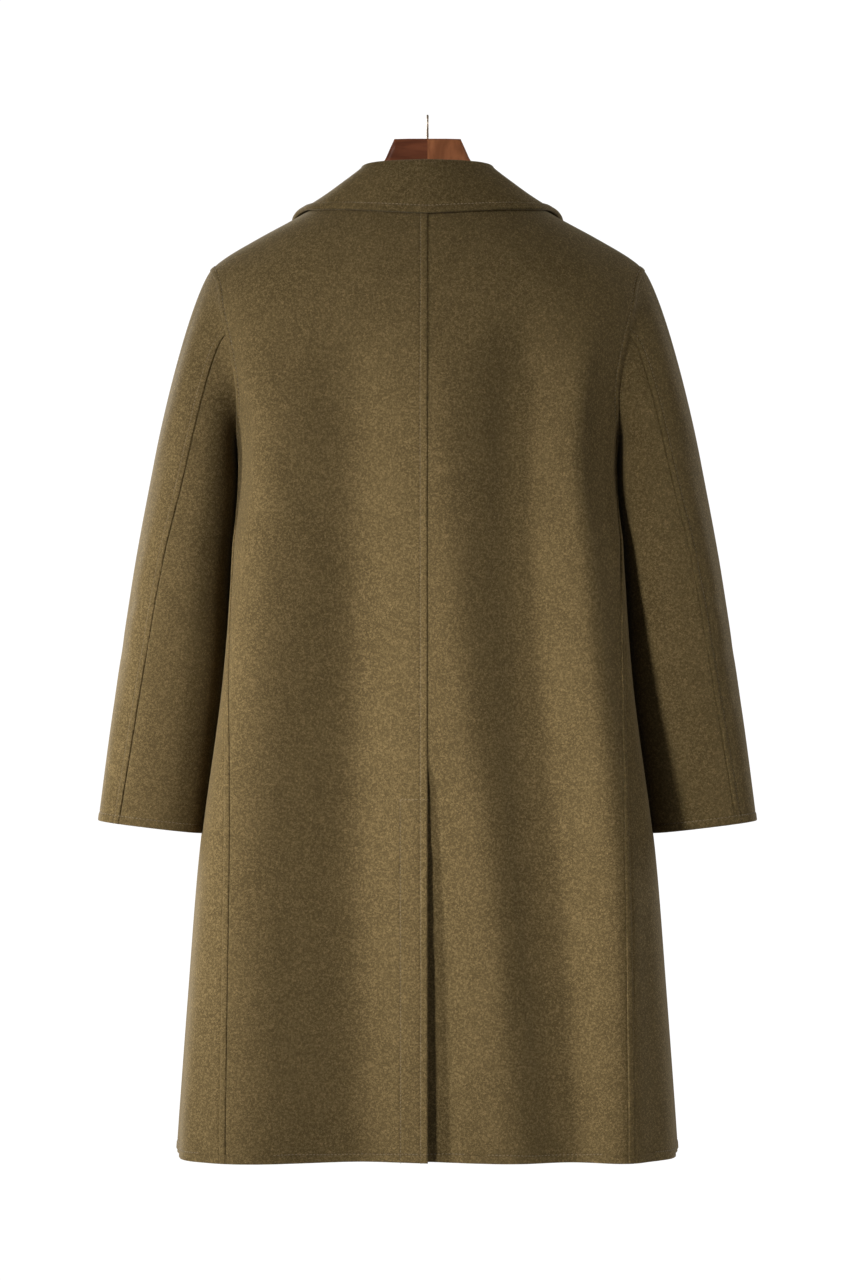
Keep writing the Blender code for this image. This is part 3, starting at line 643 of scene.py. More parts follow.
class Shell:
    """Thin closed wall of cloth on one or more grids of points."""

    def __init__(self, outside: float, inside: float) -> None:
        """Start an empty shell.

        Args:
            outside: Offset of the outer face from the points.
            inside: Offset of the inner face, below the outer one.
        """
        self.outside = outside
        self.inside = inside
        self.points = np.zeros((0, 3))
        self.normals = np.zeros((0, 3))
        self.quads: list[Array] = []
        self.edges: dict[str, Array] = {}
        self.distances: dict[str, Array] = {}

    def add(self, points: Array, normals: Array) -> Array:
        """Add a grid of points.

        Args:
            points: Points by row and column.
            normals: Outward directions of the same shape.

        Returns:
            Index of each point.
        """
        start = len(self.points)
        index = np.arange(start, start + points.shape[0] * points.shape[1])
        self.points = np.concatenate((self.points, points.reshape(-1, 3)))
        self.normals = np.concatenate((self.normals, normals.reshape(-1, 3)))
        return index.reshape(points.shape[:2])

    def fill(self, index: Array) -> None:
        """Join a grid of indexes into faces."""
        corners = (index[:-1, :-1], index[:-1, 1:], index[1:, 1:], index[1:, :-1])
        self.quads.append(np.stack(corners, axis=-1).reshape(-1, 4))

    def line(self, name: str, step: float = 0.0004) -> Array:
        """Points along an edge at an even step.

        Args:
            name: Name of the edge.
            step: Distance between points.

        Returns:
            Points along the edge.
        """
        return resample(self.points[self.edges[name]], step)

    def distance(self, name: str) -> Array:
        """Distance of every point from a named edge, worked out once.

        Args:
            name: Name of the edge.

        Returns:
            One distance for each point.
        """
        if name not in self.distances:
            self.distances[name] = distance_to(self.points, self.line(name))
        return self.distances[name]

    def build(self, name: str, shift: Array, relief: Array, outline: Sequence[str]) -> bpy.types.Object:
        """Close the shell with rounded edges.

        Args:
            name: Name of the piece.
            shift: Distance by which the whole wall lies out of its plain place.
            relief: Height of the outer face above the wall's own.
            outline: Edges that are rounded.

        Returns:
            The new object.
        """
        nearest = np.min([self.distance(edge) for edge in outline], axis=0)
        away = np.clip(nearest / CLOTH.edge_round, 0.0, 1.0)
        full = np.maximum(CLOTH.edge_share, np.sqrt(1.0 - (1.0 - away) ** 2))
        thin = (self.outside - self.inside) / 2.0 * (1.0 - full)
        outer = self.points + self.normals * (self.outside - thin + shift + relief)[:, None]
        inner = self.points + self.normals * (self.inside + thin + shift)[:, None]
        quads = np.concatenate(self.quads)
        count = len(self.points)
        faces = [quads, quads[:, ::-1] + count, self.rim(quads)]
        return make_object(name, np.concatenate((outer, inner)), np.concatenate(faces).tolist())

    def rim(self, quads: Array) -> Array:
        """Faces that close the shell along its open edges.

        Args:
            quads: Faces of the outer side.

        Returns:
            Faces between the outer and the inner side.
        """
        count = len(self.points)
        starts = quads.reshape(-1)
        ends = np.roll(quads, -1, axis=1).reshape(-1)
        key = np.minimum(starts, ends) * count + np.maximum(starts, ends)
        _, first, uses = np.unique(key, return_index=True, return_counts=True)
        open_edges = first[uses == 1]
        start = starts[open_edges]
        end = ends[open_edges]
        return np.stack((end, start, start + count, end + count), axis=-1)


def resample(points: Array, step: float) -> Array:
    """Points at an even step along a line.

    Args:
        points: Corners of the line.
        step: Distance between the new points.

    Returns:
        New points, both ends included.
    """
    lengths = np.concatenate(([0.0], np.cumsum(np.linalg.norm(np.diff(points, axis=0), axis=1))))
    wanted = np.linspace(0.0, lengths[-1], max(2, int(round(lengths[-1] / step)) + 1))
    return np.stack([np.interp(wanted, lengths, points[:, axis]) for axis in range(3)], axis=-1)


def tree_of(points: Array) -> KDTree:
    """Tree that finds the nearest of some points.

    Args:
        points: Points to find.

    Returns:
        The balanced tree.
    """
    tree = KDTree(len(points))
    for index, point in enumerate(points):
        tree.insert(point, index)
    tree.balance()
    return tree


def distance_to(points: Array, line: Array) -> Array:
    """Distance of points from the nearest point of a line.

    Args:
        points: Points to measure.
        line: Closely spaced points of the line.

    Returns:
        Distances.
    """
    tree = tree_of(line)
    return np.array([tree.find(point)[2] for point in points])


def make_object(name: str, points: Array, faces: list[Any]) -> bpy.types.Object:
    """Make a smooth mesh object.

    Args:
        name: Name of the piece.
        points: Its points.
        faces: Its faces, as lists of indexes.

    Returns:
        The new object.
    """
    mesh = bpy.data.meshes.new(name)
    mesh.from_pydata(points.tolist(), [], faces)
    mesh.validate()
    mesh.shade_smooth()
    piece = bpy.data.objects.new(name, mesh)
    bpy.context.scene.collection.objects.link(piece)
    return piece


@dataclass(frozen=True)
class Stitching:
    """Hand-picked stitches: short, plump and sunk in the cloth."""

    length: float = 0.0026
    pitch: float = 0.0040
    half_width: float = 0.00042
    half_height: float = 0.00034
    lift: float = 0.00022
    beside: float = 0.0008
    wander: float = 0.06
    sides: int = 5
    seed: int = 4

    UNEVEN = (0.85, 1.12)
    RINGS = ((-0.5, 0.35), (-0.28, 1.0), (0.28, 1.0), (0.5, 0.35))

    def lines(self, shell: Shell, strips: Sequence[Strip]) -> list[Array]:
        """Lines of stitches along the strips of a shell.

        Args:
            shell: Cloth to sew.
            strips: Its strips.

        Returns:
            Evenly spaced points along each line, near the cloth.
        """
        found = []
        for strip in strips:
            edge = shell.line(strip.edge, self.pitch)
            near = np.abs(shell.distance(strip.edge) - strip.width) < self.beside
            tree = tree_of(shell.points[near])
            toward = np.array([tree.find(point)[0] for point in edge]) - edge
            along = unit(np.gradient(edge, axis=0))
            toward = unit(toward - along * (toward * along).sum(axis=1)[:, None])
            found.append(edge + toward * strip.width)
        return found

    def sew(self, name: str, cloth: bpy.types.Object, lines: Sequence[Array]) -> bpy.types.Object:
        """Put stitches on the cloth along lines.

        Args:
            name: Name of the new piece.
            cloth: Piece to sew.
            lines: Evenly spaced points along each line.

        Returns:
            One object with every stitch.
        """
        surface = BVHTree.FromObject(cloth, bpy.context.evaluated_depsgraph_get())
        random = np.random.default_rng(self.seed)
        spots, ways, ups = [], [], []
        for line in lines:
            along = unit(np.gradient(line, axis=0))
            for point, way in zip(line, along):
                spot, normal, _, _ = surface.find_nearest(point)
                spots.append(spot)
                ups.append(normal)
                ways.append(way)
        spot = np.array(spots)
        up = np.array(ups)
        way = np.array(ways) + random.normal(0.0, self.wander, (len(spots), 3))
        way = unit(way - up * (way * up).sum(axis=1)[:, None])
        return self.capsules(name, spot, way, up, random)

    def capsules(
        self, name: str, spot: Array, way: Array, up: Array, random: np.random.Generator
    ) -> bpy.types.Object:
        """Small rounded threads.

        Args:
            name: Name of the new piece.
            spot: Their middles.
            way: Their directions.
            up: Outward directions of the cloth.
            random: Source of their unevenness.

        Returns:
            One object with every thread.
        """
        sides = self.sides
        across = np.cross(up, way)
        length = self.length * random.uniform(*self.UNEVEN, (len(spot), 1))
        rings = []
        for place, swell in self.RINGS:
            for step in range(sides):
                angle = 2.0 * math.pi * step / sides
                aside = across * (math.cos(angle) * self.half_width * swell)
                rise = up * (math.sin(angle) * self.half_height * swell + self.lift)
                rings.append(spot + way * length * place + aside + rise)
        points = np.stack(rings, axis=1).reshape(-1, 3)
        last = len(self.RINGS) - 1
        whole = len(self.RINGS) * sides
        pattern = [tuple(range(sides))[::-1], tuple(range(last * sides, whole))]
        for ring in range(last):
            for step in range(sides):
                after = (step + 1) % sides
                low = ring * sides
                pattern.append((low + step, low + after, low + sides + after, low + sides + step))
        faces = []
        for start in range(0, len(points), whole):
            faces += [[start + corner for corner in face] for face in pattern]
        return make_object(name, points, faces)


STITCHING = Stitching()


class ClothPiece:
    """One sewn piece of cloth: its grid, strips, creases and stitches."""

    body: BodyForm
    name = ""
    strips: tuple[Strip, ...] = ()
    outline: tuple[str, ...] = ()
    creases: tuple[Crease, ...] = ()

    def lay_out(self) -> Shell:
        """Lay the piece out on its grids."""
        raise NotImplementedError

    def crease_line(self, crease: Crease) -> Array:
        """Points of a crease on the piece."""
        return self.body.crease_points(crease)

    def shift(self, shell: Shell) -> Array:
        """Distance by which the creases move the wall.

        Args:
            shell: The piece's shell.

        Returns:
            One distance for each point, above 0 outwards.
        """
        moved = np.zeros(len(shell.points))
        for crease in self.creases:
            away = distance_to(shell.points, resample(self.crease_line(crease), CLOTH.crease_step))
            moved = moved - crease.depth * np.exp(-((away / crease.width) ** 2))
        return moved

    def relief(self, shell: Shell) -> Array:
        """Height of the outer face: raised strips and sunk stitch lines.

        Args:
            shell: The piece's shell.

        Returns:
            One height for each point.
        """
        height = np.zeros(len(shell.points))
        for strip in self.strips:
            away = shell.distance(strip.edge)
            share = smoothstep(strip.width + CLOTH.strip_rise, strip.width - CLOTH.strip_fall, away)
            height = np.maximum(height, strip.height * share)
        for strip in self.strips:
            away = shell.distance(strip.edge)
            height = height - strip.groove * np.exp(-(((away - strip.width) / CLOTH.groove_width) ** 2))
        return height

    def make(self) -> tuple[bpy.types.Object, bpy.types.Object]:
        """Build the cloth and its stitches.

        Returns:
            The cloth and the stitches.
        """
        shell = self.lay_out()
        cloth = shell.build(self.name, self.shift(shell), self.relief(shell), self.outline)
        lines = STITCHING.lines(shell, self.strips)
        return cloth, STITCHING.sew(f"stitches_{self.name}", cloth, lines)


ACROSS_SAMPLES = 161


def even_across(
    surface: Callable[[Array, Array], Array], along: Array, near: Sequence[float], far: Sequence[float]
) -> Array:
    """Places across a panel at even and edge-fine distances, row by row.

    Args:
        surface: Points from places across (0 to 1) and along.
        along: Place of each row.
        near: Fine distances from the first edge.
        far: Fine distances from the last edge.

    Returns:
        Places across by row and column.
    """
    samples = np.linspace(0.0, 1.0, ACROSS_SAMPLES)
    points = surface(samples[None, :], along[:, None])
    steps = np.linalg.norm(np.diff(points, axis=1), axis=2)
    lengths = np.concatenate((np.zeros((len(along), 1)), np.cumsum(steps, axis=1)), axis=1)
    between = int((lengths[:, -1].max() - near[-1] - far[-1]) / CLOTH.pitch) + 2
    rows = []
    for length in lengths:
        middle = np.linspace(near[-1], length[-1] - far[-1], between)[1:-1]
        wanted = np.concatenate((near, middle, length[-1] - np.array(far)[::-1]))
        rows.append(np.interp(wanted, length, samples))
    return np.array(rows)


class BodyPanel(ClothPiece):
    """Panel that lies on the body's surface."""

    side: Side
    lie: Lie

    def place(self, across: Array, along: Array) -> tuple[Array, Array]:
        """Angle and height on the body."""
        raise NotImplementedError

    def surface(self, across: Array, along: Array) -> Array:
        """Points of the panel; across and along as for place."""
        return self.body.point(self.side, *self.place(across, along), self.lie)

    def add_grid(self, shell: Shell, angle: Array, z: Array) -> Array:
        """Add points of the body to a shell.

        Args:
            shell: The panel's shell.
            angle: Angles from the centre back, by row and column.
            z: Heights of the same shape.

        Returns:
            Index of each point.
        """
        points = self.body.point(self.side, angle, z, self.lie)
        return shell.add(points, self.body.normal(self.side, angle, z, self.lie))


@dataclass
class BackPanel(BodyPanel):
    """Back of the coat on one side, from the centre seam to the side-back seam."""

    body: BodyForm
    side: Side
    centre_strip: float = 0.0078
    vent_line: float = 0.0303
    armhole_strip: float = 0.0068
    hem_strip: float = 0.0095
    lap_strip: float = 0.009
    armhole_rows: int = 64
    shoulder_rows: int = 40

    VENT_STEPS = (-0.012, -0.007, -0.0028, -0.0012, -0.0005, 0.0, 0.0005, 0.0012, 0.0028)
    LAP_STEPS = (0.021, 0.028, 0.033)

    def __post_init__(self) -> None:
        """Choose the strips of this side."""
        self.name = f"back_{self.side.word}"
        self.lie = Lie.UNDER_VENT if self.side is Side.RIGHT else Lie.FREE
        self.creases = BODY_CREASES
        self.strips = (Strip("armhole", self.armhole_strip), Strip("hem", self.hem_strip, height=0.0006))
        self.outline = ("centre", "side", "armhole", "shoulder", "neck", "hem")
        if self.side is Side.LEFT:
            self.strips += (
                Strip("centre", self.centre_strip, height=0.0011),
                Strip("vent", 0.0, height=0.0, groove=0.0005),
            )
        else:
            self.outline += ("lap_edge", "lap_top")
            self.creases += VENT_CREASES

    def place(self, across: Array, along: Array) -> tuple[Array, Array]:
        """Angle and height on the body.

        Args:
            across: 0 at the centre back, 1 at the outer edge.
            along: 0 at the hem, 1 at the armhole's foot, 2 at the shoulder tip, 3 at the neck.

        Returns:
            Angles and heights.
        """
        body = self.body
        across, along = np.broadcast_arrays(across, along)
        foot_z = body.seam_top()[1]
        low_z = body.hem_z + (foot_z - body.hem_z) * np.clip(along, 0.0, 1.0)
        share = body.side_seam_share * (2.0 - np.clip(along, 1.0, 2.0))
        arm_angle, arm_z = body.armhole(share, -body.back_armhole)
        rise = np.clip(along - 2.0, 0.0, 1.0)
        edge = np.where(along < 1.0, body.side_seam_angle(low_z), np.where(along < 2.0, arm_angle, 90.0))
        high_z = np.where(along < 2.0, arm_z, body.shoulder_height(90.0, rise))
        level = np.where(along < 1.0, low_z, high_z)
        start = body.half_gap(np.zeros_like(level), level)
        angle = start + across * (edge - body.half_gap(edge, level) - start)
        return angle, np.where(along < 2.0, level, body.shoulder_height(angle, rise))

    def rows(self) -> Array:
        """Places along the panel, finer at the hem and at the top of the vent.

        Returns:
            Rising places, as for place.
        """
        body = self.body
        length = float(body.seam_top()[1]) - body.hem_z
        low = rulings(length, edge_lines(self.hem_strip), [0.0], [body.vent_top_z - body.hem_z]) / length
        armhole = np.linspace(1.0, 2.0, self.armhole_rows)
        shoulder = np.linspace(2.0, 3.0, self.shoulder_rows)
        return np.concatenate((low, armhole[1:], shoulder[1:]))

    def lay_out(self) -> Shell:
        """Lay out the panel, with the lap under the vent on the right.

        Returns:
            The panel's shell.
        """
        shell = Shell(0.0, -CLOTH.wall)
        along = self.rows()
        near = edge_lines(self.centre_strip)
        if self.side is Side.LEFT:
            near += [self.vent_line + step for step in self.VENT_STEPS]
        across = even_across(self.surface, along, near, edge_lines(self.armhole_strip))
        angle, z = self.place(across, along[:, None])
        index = self.add_grid(shell, angle, z)
        shell.fill(self.side.facing(index))
        vent_row = int(np.argmin(np.abs(z[:, 0] - self.body.vent_top_z)))
        arm = int(np.argmin(np.abs(along - 1.0)))
        tip = int(np.argmin(np.abs(along - 2.0)))
        shell.edges = {
            "centre": index[:, 0] if self.side is Side.LEFT else index[vent_row:, 0],
            "side": index[: arm + 1, -1],
            "armhole": index[arm : tip + 1, -1],
            "shoulder": index[tip:, -1],
            "neck": index[-1, :],
            "hem": index[0, :],
        }
        if self.side is Side.LEFT:
            column = int(np.argmin(np.abs(np.array(near) - self.vent_line)))
            shell.edges["vent"] = np.concatenate((index[:vent_row, column], index[vent_row, column::-1]))
        else:
            self.add_lap(shell, index, z[: vent_row + 1, 0], vent_row)
        return shell

    def add_lap(self, shell: Shell, index: Array, z: Array, vent_row: int) -> None:
        """Carry the right back on under the left one below the top of the vent.

        Args:
            shell: The panel's shell.
            index: Its grid.
            z: Heights of the lap's rows.
            vent_row: Row at the top of the vent.
        """
        reach = self.body.vent_underlap
        columns = -(reach - np.array(edge_lines(self.lap_strip) + list(self.LAP_STEPS)))
        half_width = self.body.SECTIONS.read("half_width", z)
        angle = np.degrees(columns[None, :] / half_width[:, None])
        height = np.repeat(z[:, None], len(columns), axis=1)
        lap = self.add_grid(shell, angle, height)
        joined = np.concatenate((lap, index[: vent_row + 1, :1]), axis=1)
        shell.fill(joined)
        shell.edges["lap_edge"] = joined[:, 0]
        shell.edges["lap_top"] = joined[-1, :]
        shell.edges["hem"] = np.concatenate((joined[0, :-1], index[0, :]))


@dataclass
class FrontPanel(BodyPanel):
    """Front of the coat on one side, from past the centre front round to the side-back seam."""

    body: BodyForm
    side: Side
    seam_strip: float = 0.0068
    front_strip: float = 0.0078
    hem_strip: float = 0.0095
    armhole_rows: int = 72
    shoulder_rows: int = 40

    def __post_init__(self) -> None:
        """Choose the strips of this side."""
        self.name = f"front_{self.side.word}"
        self.lie = Lie.UNDER_FRONT if self.side is Side.RIGHT else Lie.FREE
        self.creases = BODY_CREASES
        self.strips = (
            Strip("armhole", self.seam_strip),
            Strip("side", self.seam_strip),
            Strip("hem", self.hem_strip, height=0.0006),
            Strip("front", self.front_strip, height=0.0007),
        )
        self.outline = ("side", "armhole", "shoulder", "neck", "hem", "front")

    def place(self, across: Array, along: Array) -> tuple[Array, Array]:
        """Angle and height on the body's chest part.

        Args:
            across: 0 at the side, 1 at the front edge.
            along: 0 at the hem, 1 at the underarm, 2 at the shoulder tip, 3 at the neck.

        Returns:
            Angles and heights.
        """
        body = self.body
        across, along = np.broadcast_arrays(across, along)
        low_z = body.hem_z + (body.underarm_z - body.hem_z) * np.clip(along, 0.0, 1.0)
        arm_angle, arm_z = body.armhole(2.0 - np.clip(along, 1.0, 2.0), body.front_armhole)
        rise = np.clip(along - 2.0, 0.0, 1.0)
        edge = np.where((along > 1.0) & (along < 2.0), arm_angle, 90.0)
        high_z = np.where(along < 2.0, arm_z, body.shoulder_height(90.0, rise))
        level = np.where(along <= 1.0, low_z, high_z)
        front_z = np.where(along < 2.0, level, body.shoulder_height(180.0, rise))
        overlap = np.degrees(body.front_overlap / body.SECTIONS.read("half_width", front_z))
        start = edge + np.where(along > 1.0, body.half_gap(edge, level), 0.0)
        angle = start + across * (180.0 + overlap - start)
        return angle, np.where(along < 2.0, level, body.shoulder_height(angle, rise))

    def side_place(self, across: Array, along: Array) -> tuple[Array, Array]:
        """Angle and height on the part behind the underarm.

        Args:
            across: 0 at the side-back seam, 1 at the side.
            along: 0 at the hem, 1 at the armhole.

        Returns:
            Angles and heights.
        """
        body = self.body
        across, along = np.broadcast_arrays(across, along)
        share = body.side_seam_share + (1.0 - body.side_seam_share) * across
        arm_angle, arm_z = body.armhole(share, -body.back_armhole)
        last = body.seam_top()[0]
        z = body.hem_z + (arm_z - body.hem_z) * along
        seam = body.side_seam_angle(z)
        gap = body.half_gap(seam, z)
        angle = 90.0 - (90.0 - arm_angle) / (90.0 - last) * (90.0 - seam - gap)
        arm_angle = arm_angle + gap * (1.0 - across)
        return angle + (arm_angle - angle) * smoothstep(0.75, 1.0, along), z

    def side_surface(self, across: Array, along: Array) -> Array:
        """Points behind the underarm; across and along as for side_place."""
        return self.body.point(self.side, *self.side_place(across, along), self.lie)

    def lay_out(self) -> Shell:
        """Lay out the chest and the part behind the underarm.

        Returns:
            The panel's shell.
        """
        body = self.body
        shell = Shell(0.0, -CLOTH.wall)
        length = body.underarm_z - body.hem_z
        low = rulings(length, edge_lines(self.hem_strip), edge_lines(self.seam_strip)) / length
        armhole = np.linspace(1.0, 2.0, self.armhole_rows)
        shoulder = np.linspace(2.0, 3.0, self.shoulder_rows)
        along = np.concatenate((low, armhole[1:], shoulder[1:]))
        near = edge_lines(self.seam_strip)
        across = even_across(self.surface, along, near, edge_lines(self.front_strip))
        chest = self.add_grid(shell, *self.place(across, along[:, None]))
        side_across = even_across(self.side_surface, low, near, [0.0])
        angle, z = self.side_place(side_across, low[:, None])
        behind = self.add_grid(shell, angle[:, :-1], z[:, :-1])
        under = len(low) - 1
        tip = int(np.argmin(np.abs(along - 2.0)))
        joined = np.concatenate((behind, chest[: under + 1, :1]), axis=1)
        for grid in (chest, joined):
            shell.fill(self.side.facing(grid))
        shell.edges = {
            "side": joined[:, 0],
            "armhole": np.concatenate((joined[-1, :], chest[under + 1 : tip + 1, 0])),
            "shoulder": chest[tip:, 0],
            "neck": chest[-1, :],
            "hem": np.concatenate((joined[0, :-1], chest[0, :])),
            "front": chest[:, -1],
        }
        return shell


class SleeveHalf(Enum):
    """Panel of a two-piece sleeve."""

    TOP = "top_sleeve"
    UNDER = "under_sleeve"


TOP_SLEEVE_CREASES = (
    Crease(((0.86, 5.0), (0.80, 7.5), (0.78, 10.0), (0.82, 13.0)), 0.016, 0.0014),
    Crease(((0.99, 9.0), (0.90, 9.8), (0.78, 10.1)), 0.010, 0.0012),
    Crease(((0.98, 11.2), (0.86, 11.6), (0.72, 11.5)), 0.011, 0.0010),
    Crease(((0.10, 8.5), (0.24, 9.6), (0.40, 10.2)), 0.013, 0.0014),
    Crease(((0.30, 4.5), (0.36, 7.0), (0.34, 10.0)), 0.018, 0.0012),
)
UNDER_SLEEVE_CREASES = (
    Crease(((0.02, 9.1), (0.20, 10.0), (0.42, 10.2)), 0.011, 0.0012),
    Crease(((0.55, 6.5), (0.50, 9.0), (0.56, 12.0)), 0.014, 0.0010),
    Crease(((0.98, 8.8), (0.84, 9.7), (0.70, 10.1)), 0.012, 0.0012),
)


@dataclass
class SleevePanel(ClothPiece):
    """One panel of a two-piece sleeve, from the armhole to the cuff."""

    body: BodyForm
    side: Side
    half: SleeveHalf
    seam_strip: float = 0.0068
    cuff_strip: float = 0.0092
    cap_steps: float = 6.0
    arm_steps: float = 11.0
    front_seam_deg: float = 245.0
    start_pull: float = 0.45
    end_pull: float = 1.0
    press_top: float = 0.0060
    press_low: float = 0.0026
    press_end: float = 0.32
    squareness: float = 2.4
    samples: int = 341

    SECTIONS = SmoothTable(SLEEVE_SECTIONS, "place")
    RING = 19.0
    BACK_SEAM = 4.0
    SIDE_SEAM = 7.0
    UNDERARM = 10.0
    FRONT_SEAM = 13.0
    FALL = (0.90, -0.45)
    EASE = (0.30, 0.80)

    def __post_init__(self) -> None:
        """Choose the strips of this panel."""
        self.name = f"{self.half.value}_{self.side.word}"
        self.outline = ("armhole", "cuff", "first", "last")
        self.strips = (Strip("cuff", self.cuff_strip, height=0.0006),)
        self.creases = UNDER_SLEEVE_CREASES
        if self.half is SleeveHalf.TOP:
            self.creases = TOP_SLEEVE_CREASES
            self.strips += (Strip("last", self.seam_strip),)

    def crease_line(self, crease: Crease) -> Array:
        """Points of a crease, whose path goes by the panel's across and along."""
        across, along = np.array(crease.path).T
        return self.surface(across, along)

    def ring(self, place: Array) -> tuple[Array, Array, Array]:
        """Angle, height and share down of the armhole at places of its ring.

        Args:
            place: 0 at the tip, 7 at the side-back seam, 10 at the underarm, 19 at the tip again.

        Returns:
            Angles, heights and shares.
        """
        body = self.body
        place = np.mod(place, self.RING)
        seam = body.side_seam_share
        back = place / self.SIDE_SEAM * seam
        under = seam + (place - self.SIDE_SEAM) / (self.UNDERARM - self.SIDE_SEAM) * (1.0 - seam)
        front = 1.0 - (place - self.UNDERARM) / (self.RING - self.UNDERARM)
        share = np.where(place <= self.SIDE_SEAM, back, np.where(place <= self.UNDERARM, under, front))
        reach = np.where(place <= self.UNDERARM, -body.back_armhole, body.front_armhole)
        return body.armhole(share, reach) + (share,)

    def seam_point(self, place: Array) -> Array:
        """Points of the armhole at places of its ring."""
        angle, z, _ = self.ring(place)
        return self.body.point(self.side, angle, z)

    def leave_way(self, place: Array) -> Array:
        """Direction in which the sleeve leaves the armhole.

        Args:
            place: Places of the armhole's ring.

        Returns:
            Unit vectors.
        """
        side = self.side.value
        angle, z, share = self.ring(place)
        along = self.seam_point(place + 1.0) - self.seam_point(place - 1.0)
        across = unit(np.cross(self.body.normal(self.side, angle, z), along)) * side
        out, down = self.FALL
        fall = unit(np.array([side * out, 0.0, down]))
        ease = smoothstep(*self.EASE, share)[..., None]
        return unit(-across * (1.0 - ease) * self.turn() + fall * ease)

    def turn(self) -> float:
        """Sign that makes the sleeve leave the armhole outwards.

        Returns:
            1 or -1.
        """
        side = self.side.value
        angle, z, _ = self.ring(np.array(0.0))
        along = self.seam_point(np.array(1.0)) - self.seam_point(np.array(-1.0))
        across = np.cross(self.body.normal(self.side, angle, z), along) * side
        return -1.0 if across[0] * side > 0 else 1.0

    def arm_point(self, share: Array, place: Array) -> Array:
        """Points of the sleeve below its head.

        Args:
            share: 0 at the bicep, 1 at the cuff.
            place: Places of the ring.

        Returns:
            Points.
        """
        at = np.asarray(share, float) * (len(SLEEVE_SECTIONS) - 1)
        size = {name: self.SECTIONS.read(name, at) for name in self.SECTIONS.columns}
        back = size["back_seam_deg"]
        front = self.front_seam_deg
        under = back + (place - self.BACK_SEAM) / (self.FRONT_SEAM - self.BACK_SEAM) * (front - back)
        past = (place - self.FRONT_SEAM) / (self.RING - self.FRONT_SEAM + self.BACK_SEAM)
        top = front - 360.0 + past * (back + 360.0 - front)
        angle = np.radians(under if self.half is SleeveHalf.UNDER else top)
        power = self.squareness
        swell = (np.abs(np.sin(angle)) ** power + np.abs(np.cos(angle)) ** power) ** (-1.0 / power)
        cosine = np.cos(angle) * swell
        press = self.press_top * smoothstep(self.press_end, 0.0, share)
        inner = size["inner_reach"] - self.press_low - press
        reach = (size["outer_reach"] + inner + (size["outer_reach"] - inner) * cosine) / 2.0
        z = (size["outer_z"] + size["inner_z"] + (size["outer_z"] - size["inner_z"]) * cosine) / 2.0
        y = size["centre_y"] - size["half_depth"] * np.sin(angle) * swell
        return np.stack((self.side.value * reach, y, z), axis=-1)

    def surface(self, across: Array, along: Array) -> Array:
        """Points of the panel.

        Args:
            across: 0 and 1 at its two seams.
            along: 0 at the armhole, 6 at the bicep, 17 at the cuff.

        Returns:
            Points.
        """
        across, along = np.broadcast_arrays(across, along)
        first, last = (self.FRONT_SEAM, self.RING + self.BACK_SEAM)
        if self.half is SleeveHalf.UNDER:
            first, last = (self.BACK_SEAM, self.FRONT_SEAM)
        place = first + across * (last - first)
        arm = self.arm_point(np.clip((along - self.cap_steps) / self.arm_steps, 0.0, 1.0), place)
        way = self.leave_way(place)
        start = self.seam_point(place) - way * CLOTH.seam_press
        end = self.arm_point(np.zeros_like(place), place)
        span = np.linalg.norm(end - start, axis=-1, keepdims=True)
        run = unit(self.arm_point(np.full_like(place, 0.02), place) - end)
        share = np.clip(along / self.cap_steps, 0.0, 1.0)[..., None]
        cap = hermite(start, end, way * span * self.start_pull, run * span * self.end_pull, share)
        return np.where((along < self.cap_steps)[..., None], cap, arm)

    def normal(self, across: Array, along: Array) -> Array:
        """Outward directions of the panel.

        Args:
            across: 0 and 1 at its two seams.
            along: 0 at the armhole, 6 at the bicep, 17 at the cuff.

        Returns:
            Unit vectors.
        """
        aside, down = (0.004, 0.05)
        cuff = self.cap_steps + self.arm_steps
        after = self.surface(np.clip(across + aside, 0.0, 1.0), along)
        before = self.surface(np.clip(across - aside, 0.0, 1.0), along)
        below = self.surface(across, np.clip(along + down, 0.0, cuff))
        above = self.surface(across, np.clip(along - down, 0.0, cuff))
        return unit(np.cross(after - before, below - above)) * self.side.value

    def lay_out(self) -> Shell:
        """Lay out the panel.

        Returns:
            The panel's shell.
        """
        shell = Shell(0.0, -CLOTH.wall)
        steps = np.linspace(0.0, self.cap_steps + self.arm_steps, self.samples)
        middle = self.surface(np.full_like(steps, 0.5), steps)
        lengths = np.concatenate(([0.0], np.cumsum(np.linalg.norm(np.diff(middle, axis=0), axis=1))))
        wanted = rulings(lengths[-1], edge_lines(), edge_lines(self.cuff_strip))
        along = np.interp(wanted, lengths, steps)
        near = edge_lines(self.seam_strip)
        across = even_across(self.surface, along, near, near)
        grid = np.repeat(along[:, None], across.shape[1], axis=1)
        index = shell.add(self.surface(across, grid), self.normal(across, grid))
        shell.fill(self.side.facing(index))
        shell.edges = {"armhole": index[0], "cuff": index[-1], "first": index[:, 0], "last": index[:, -1]}
        return shell


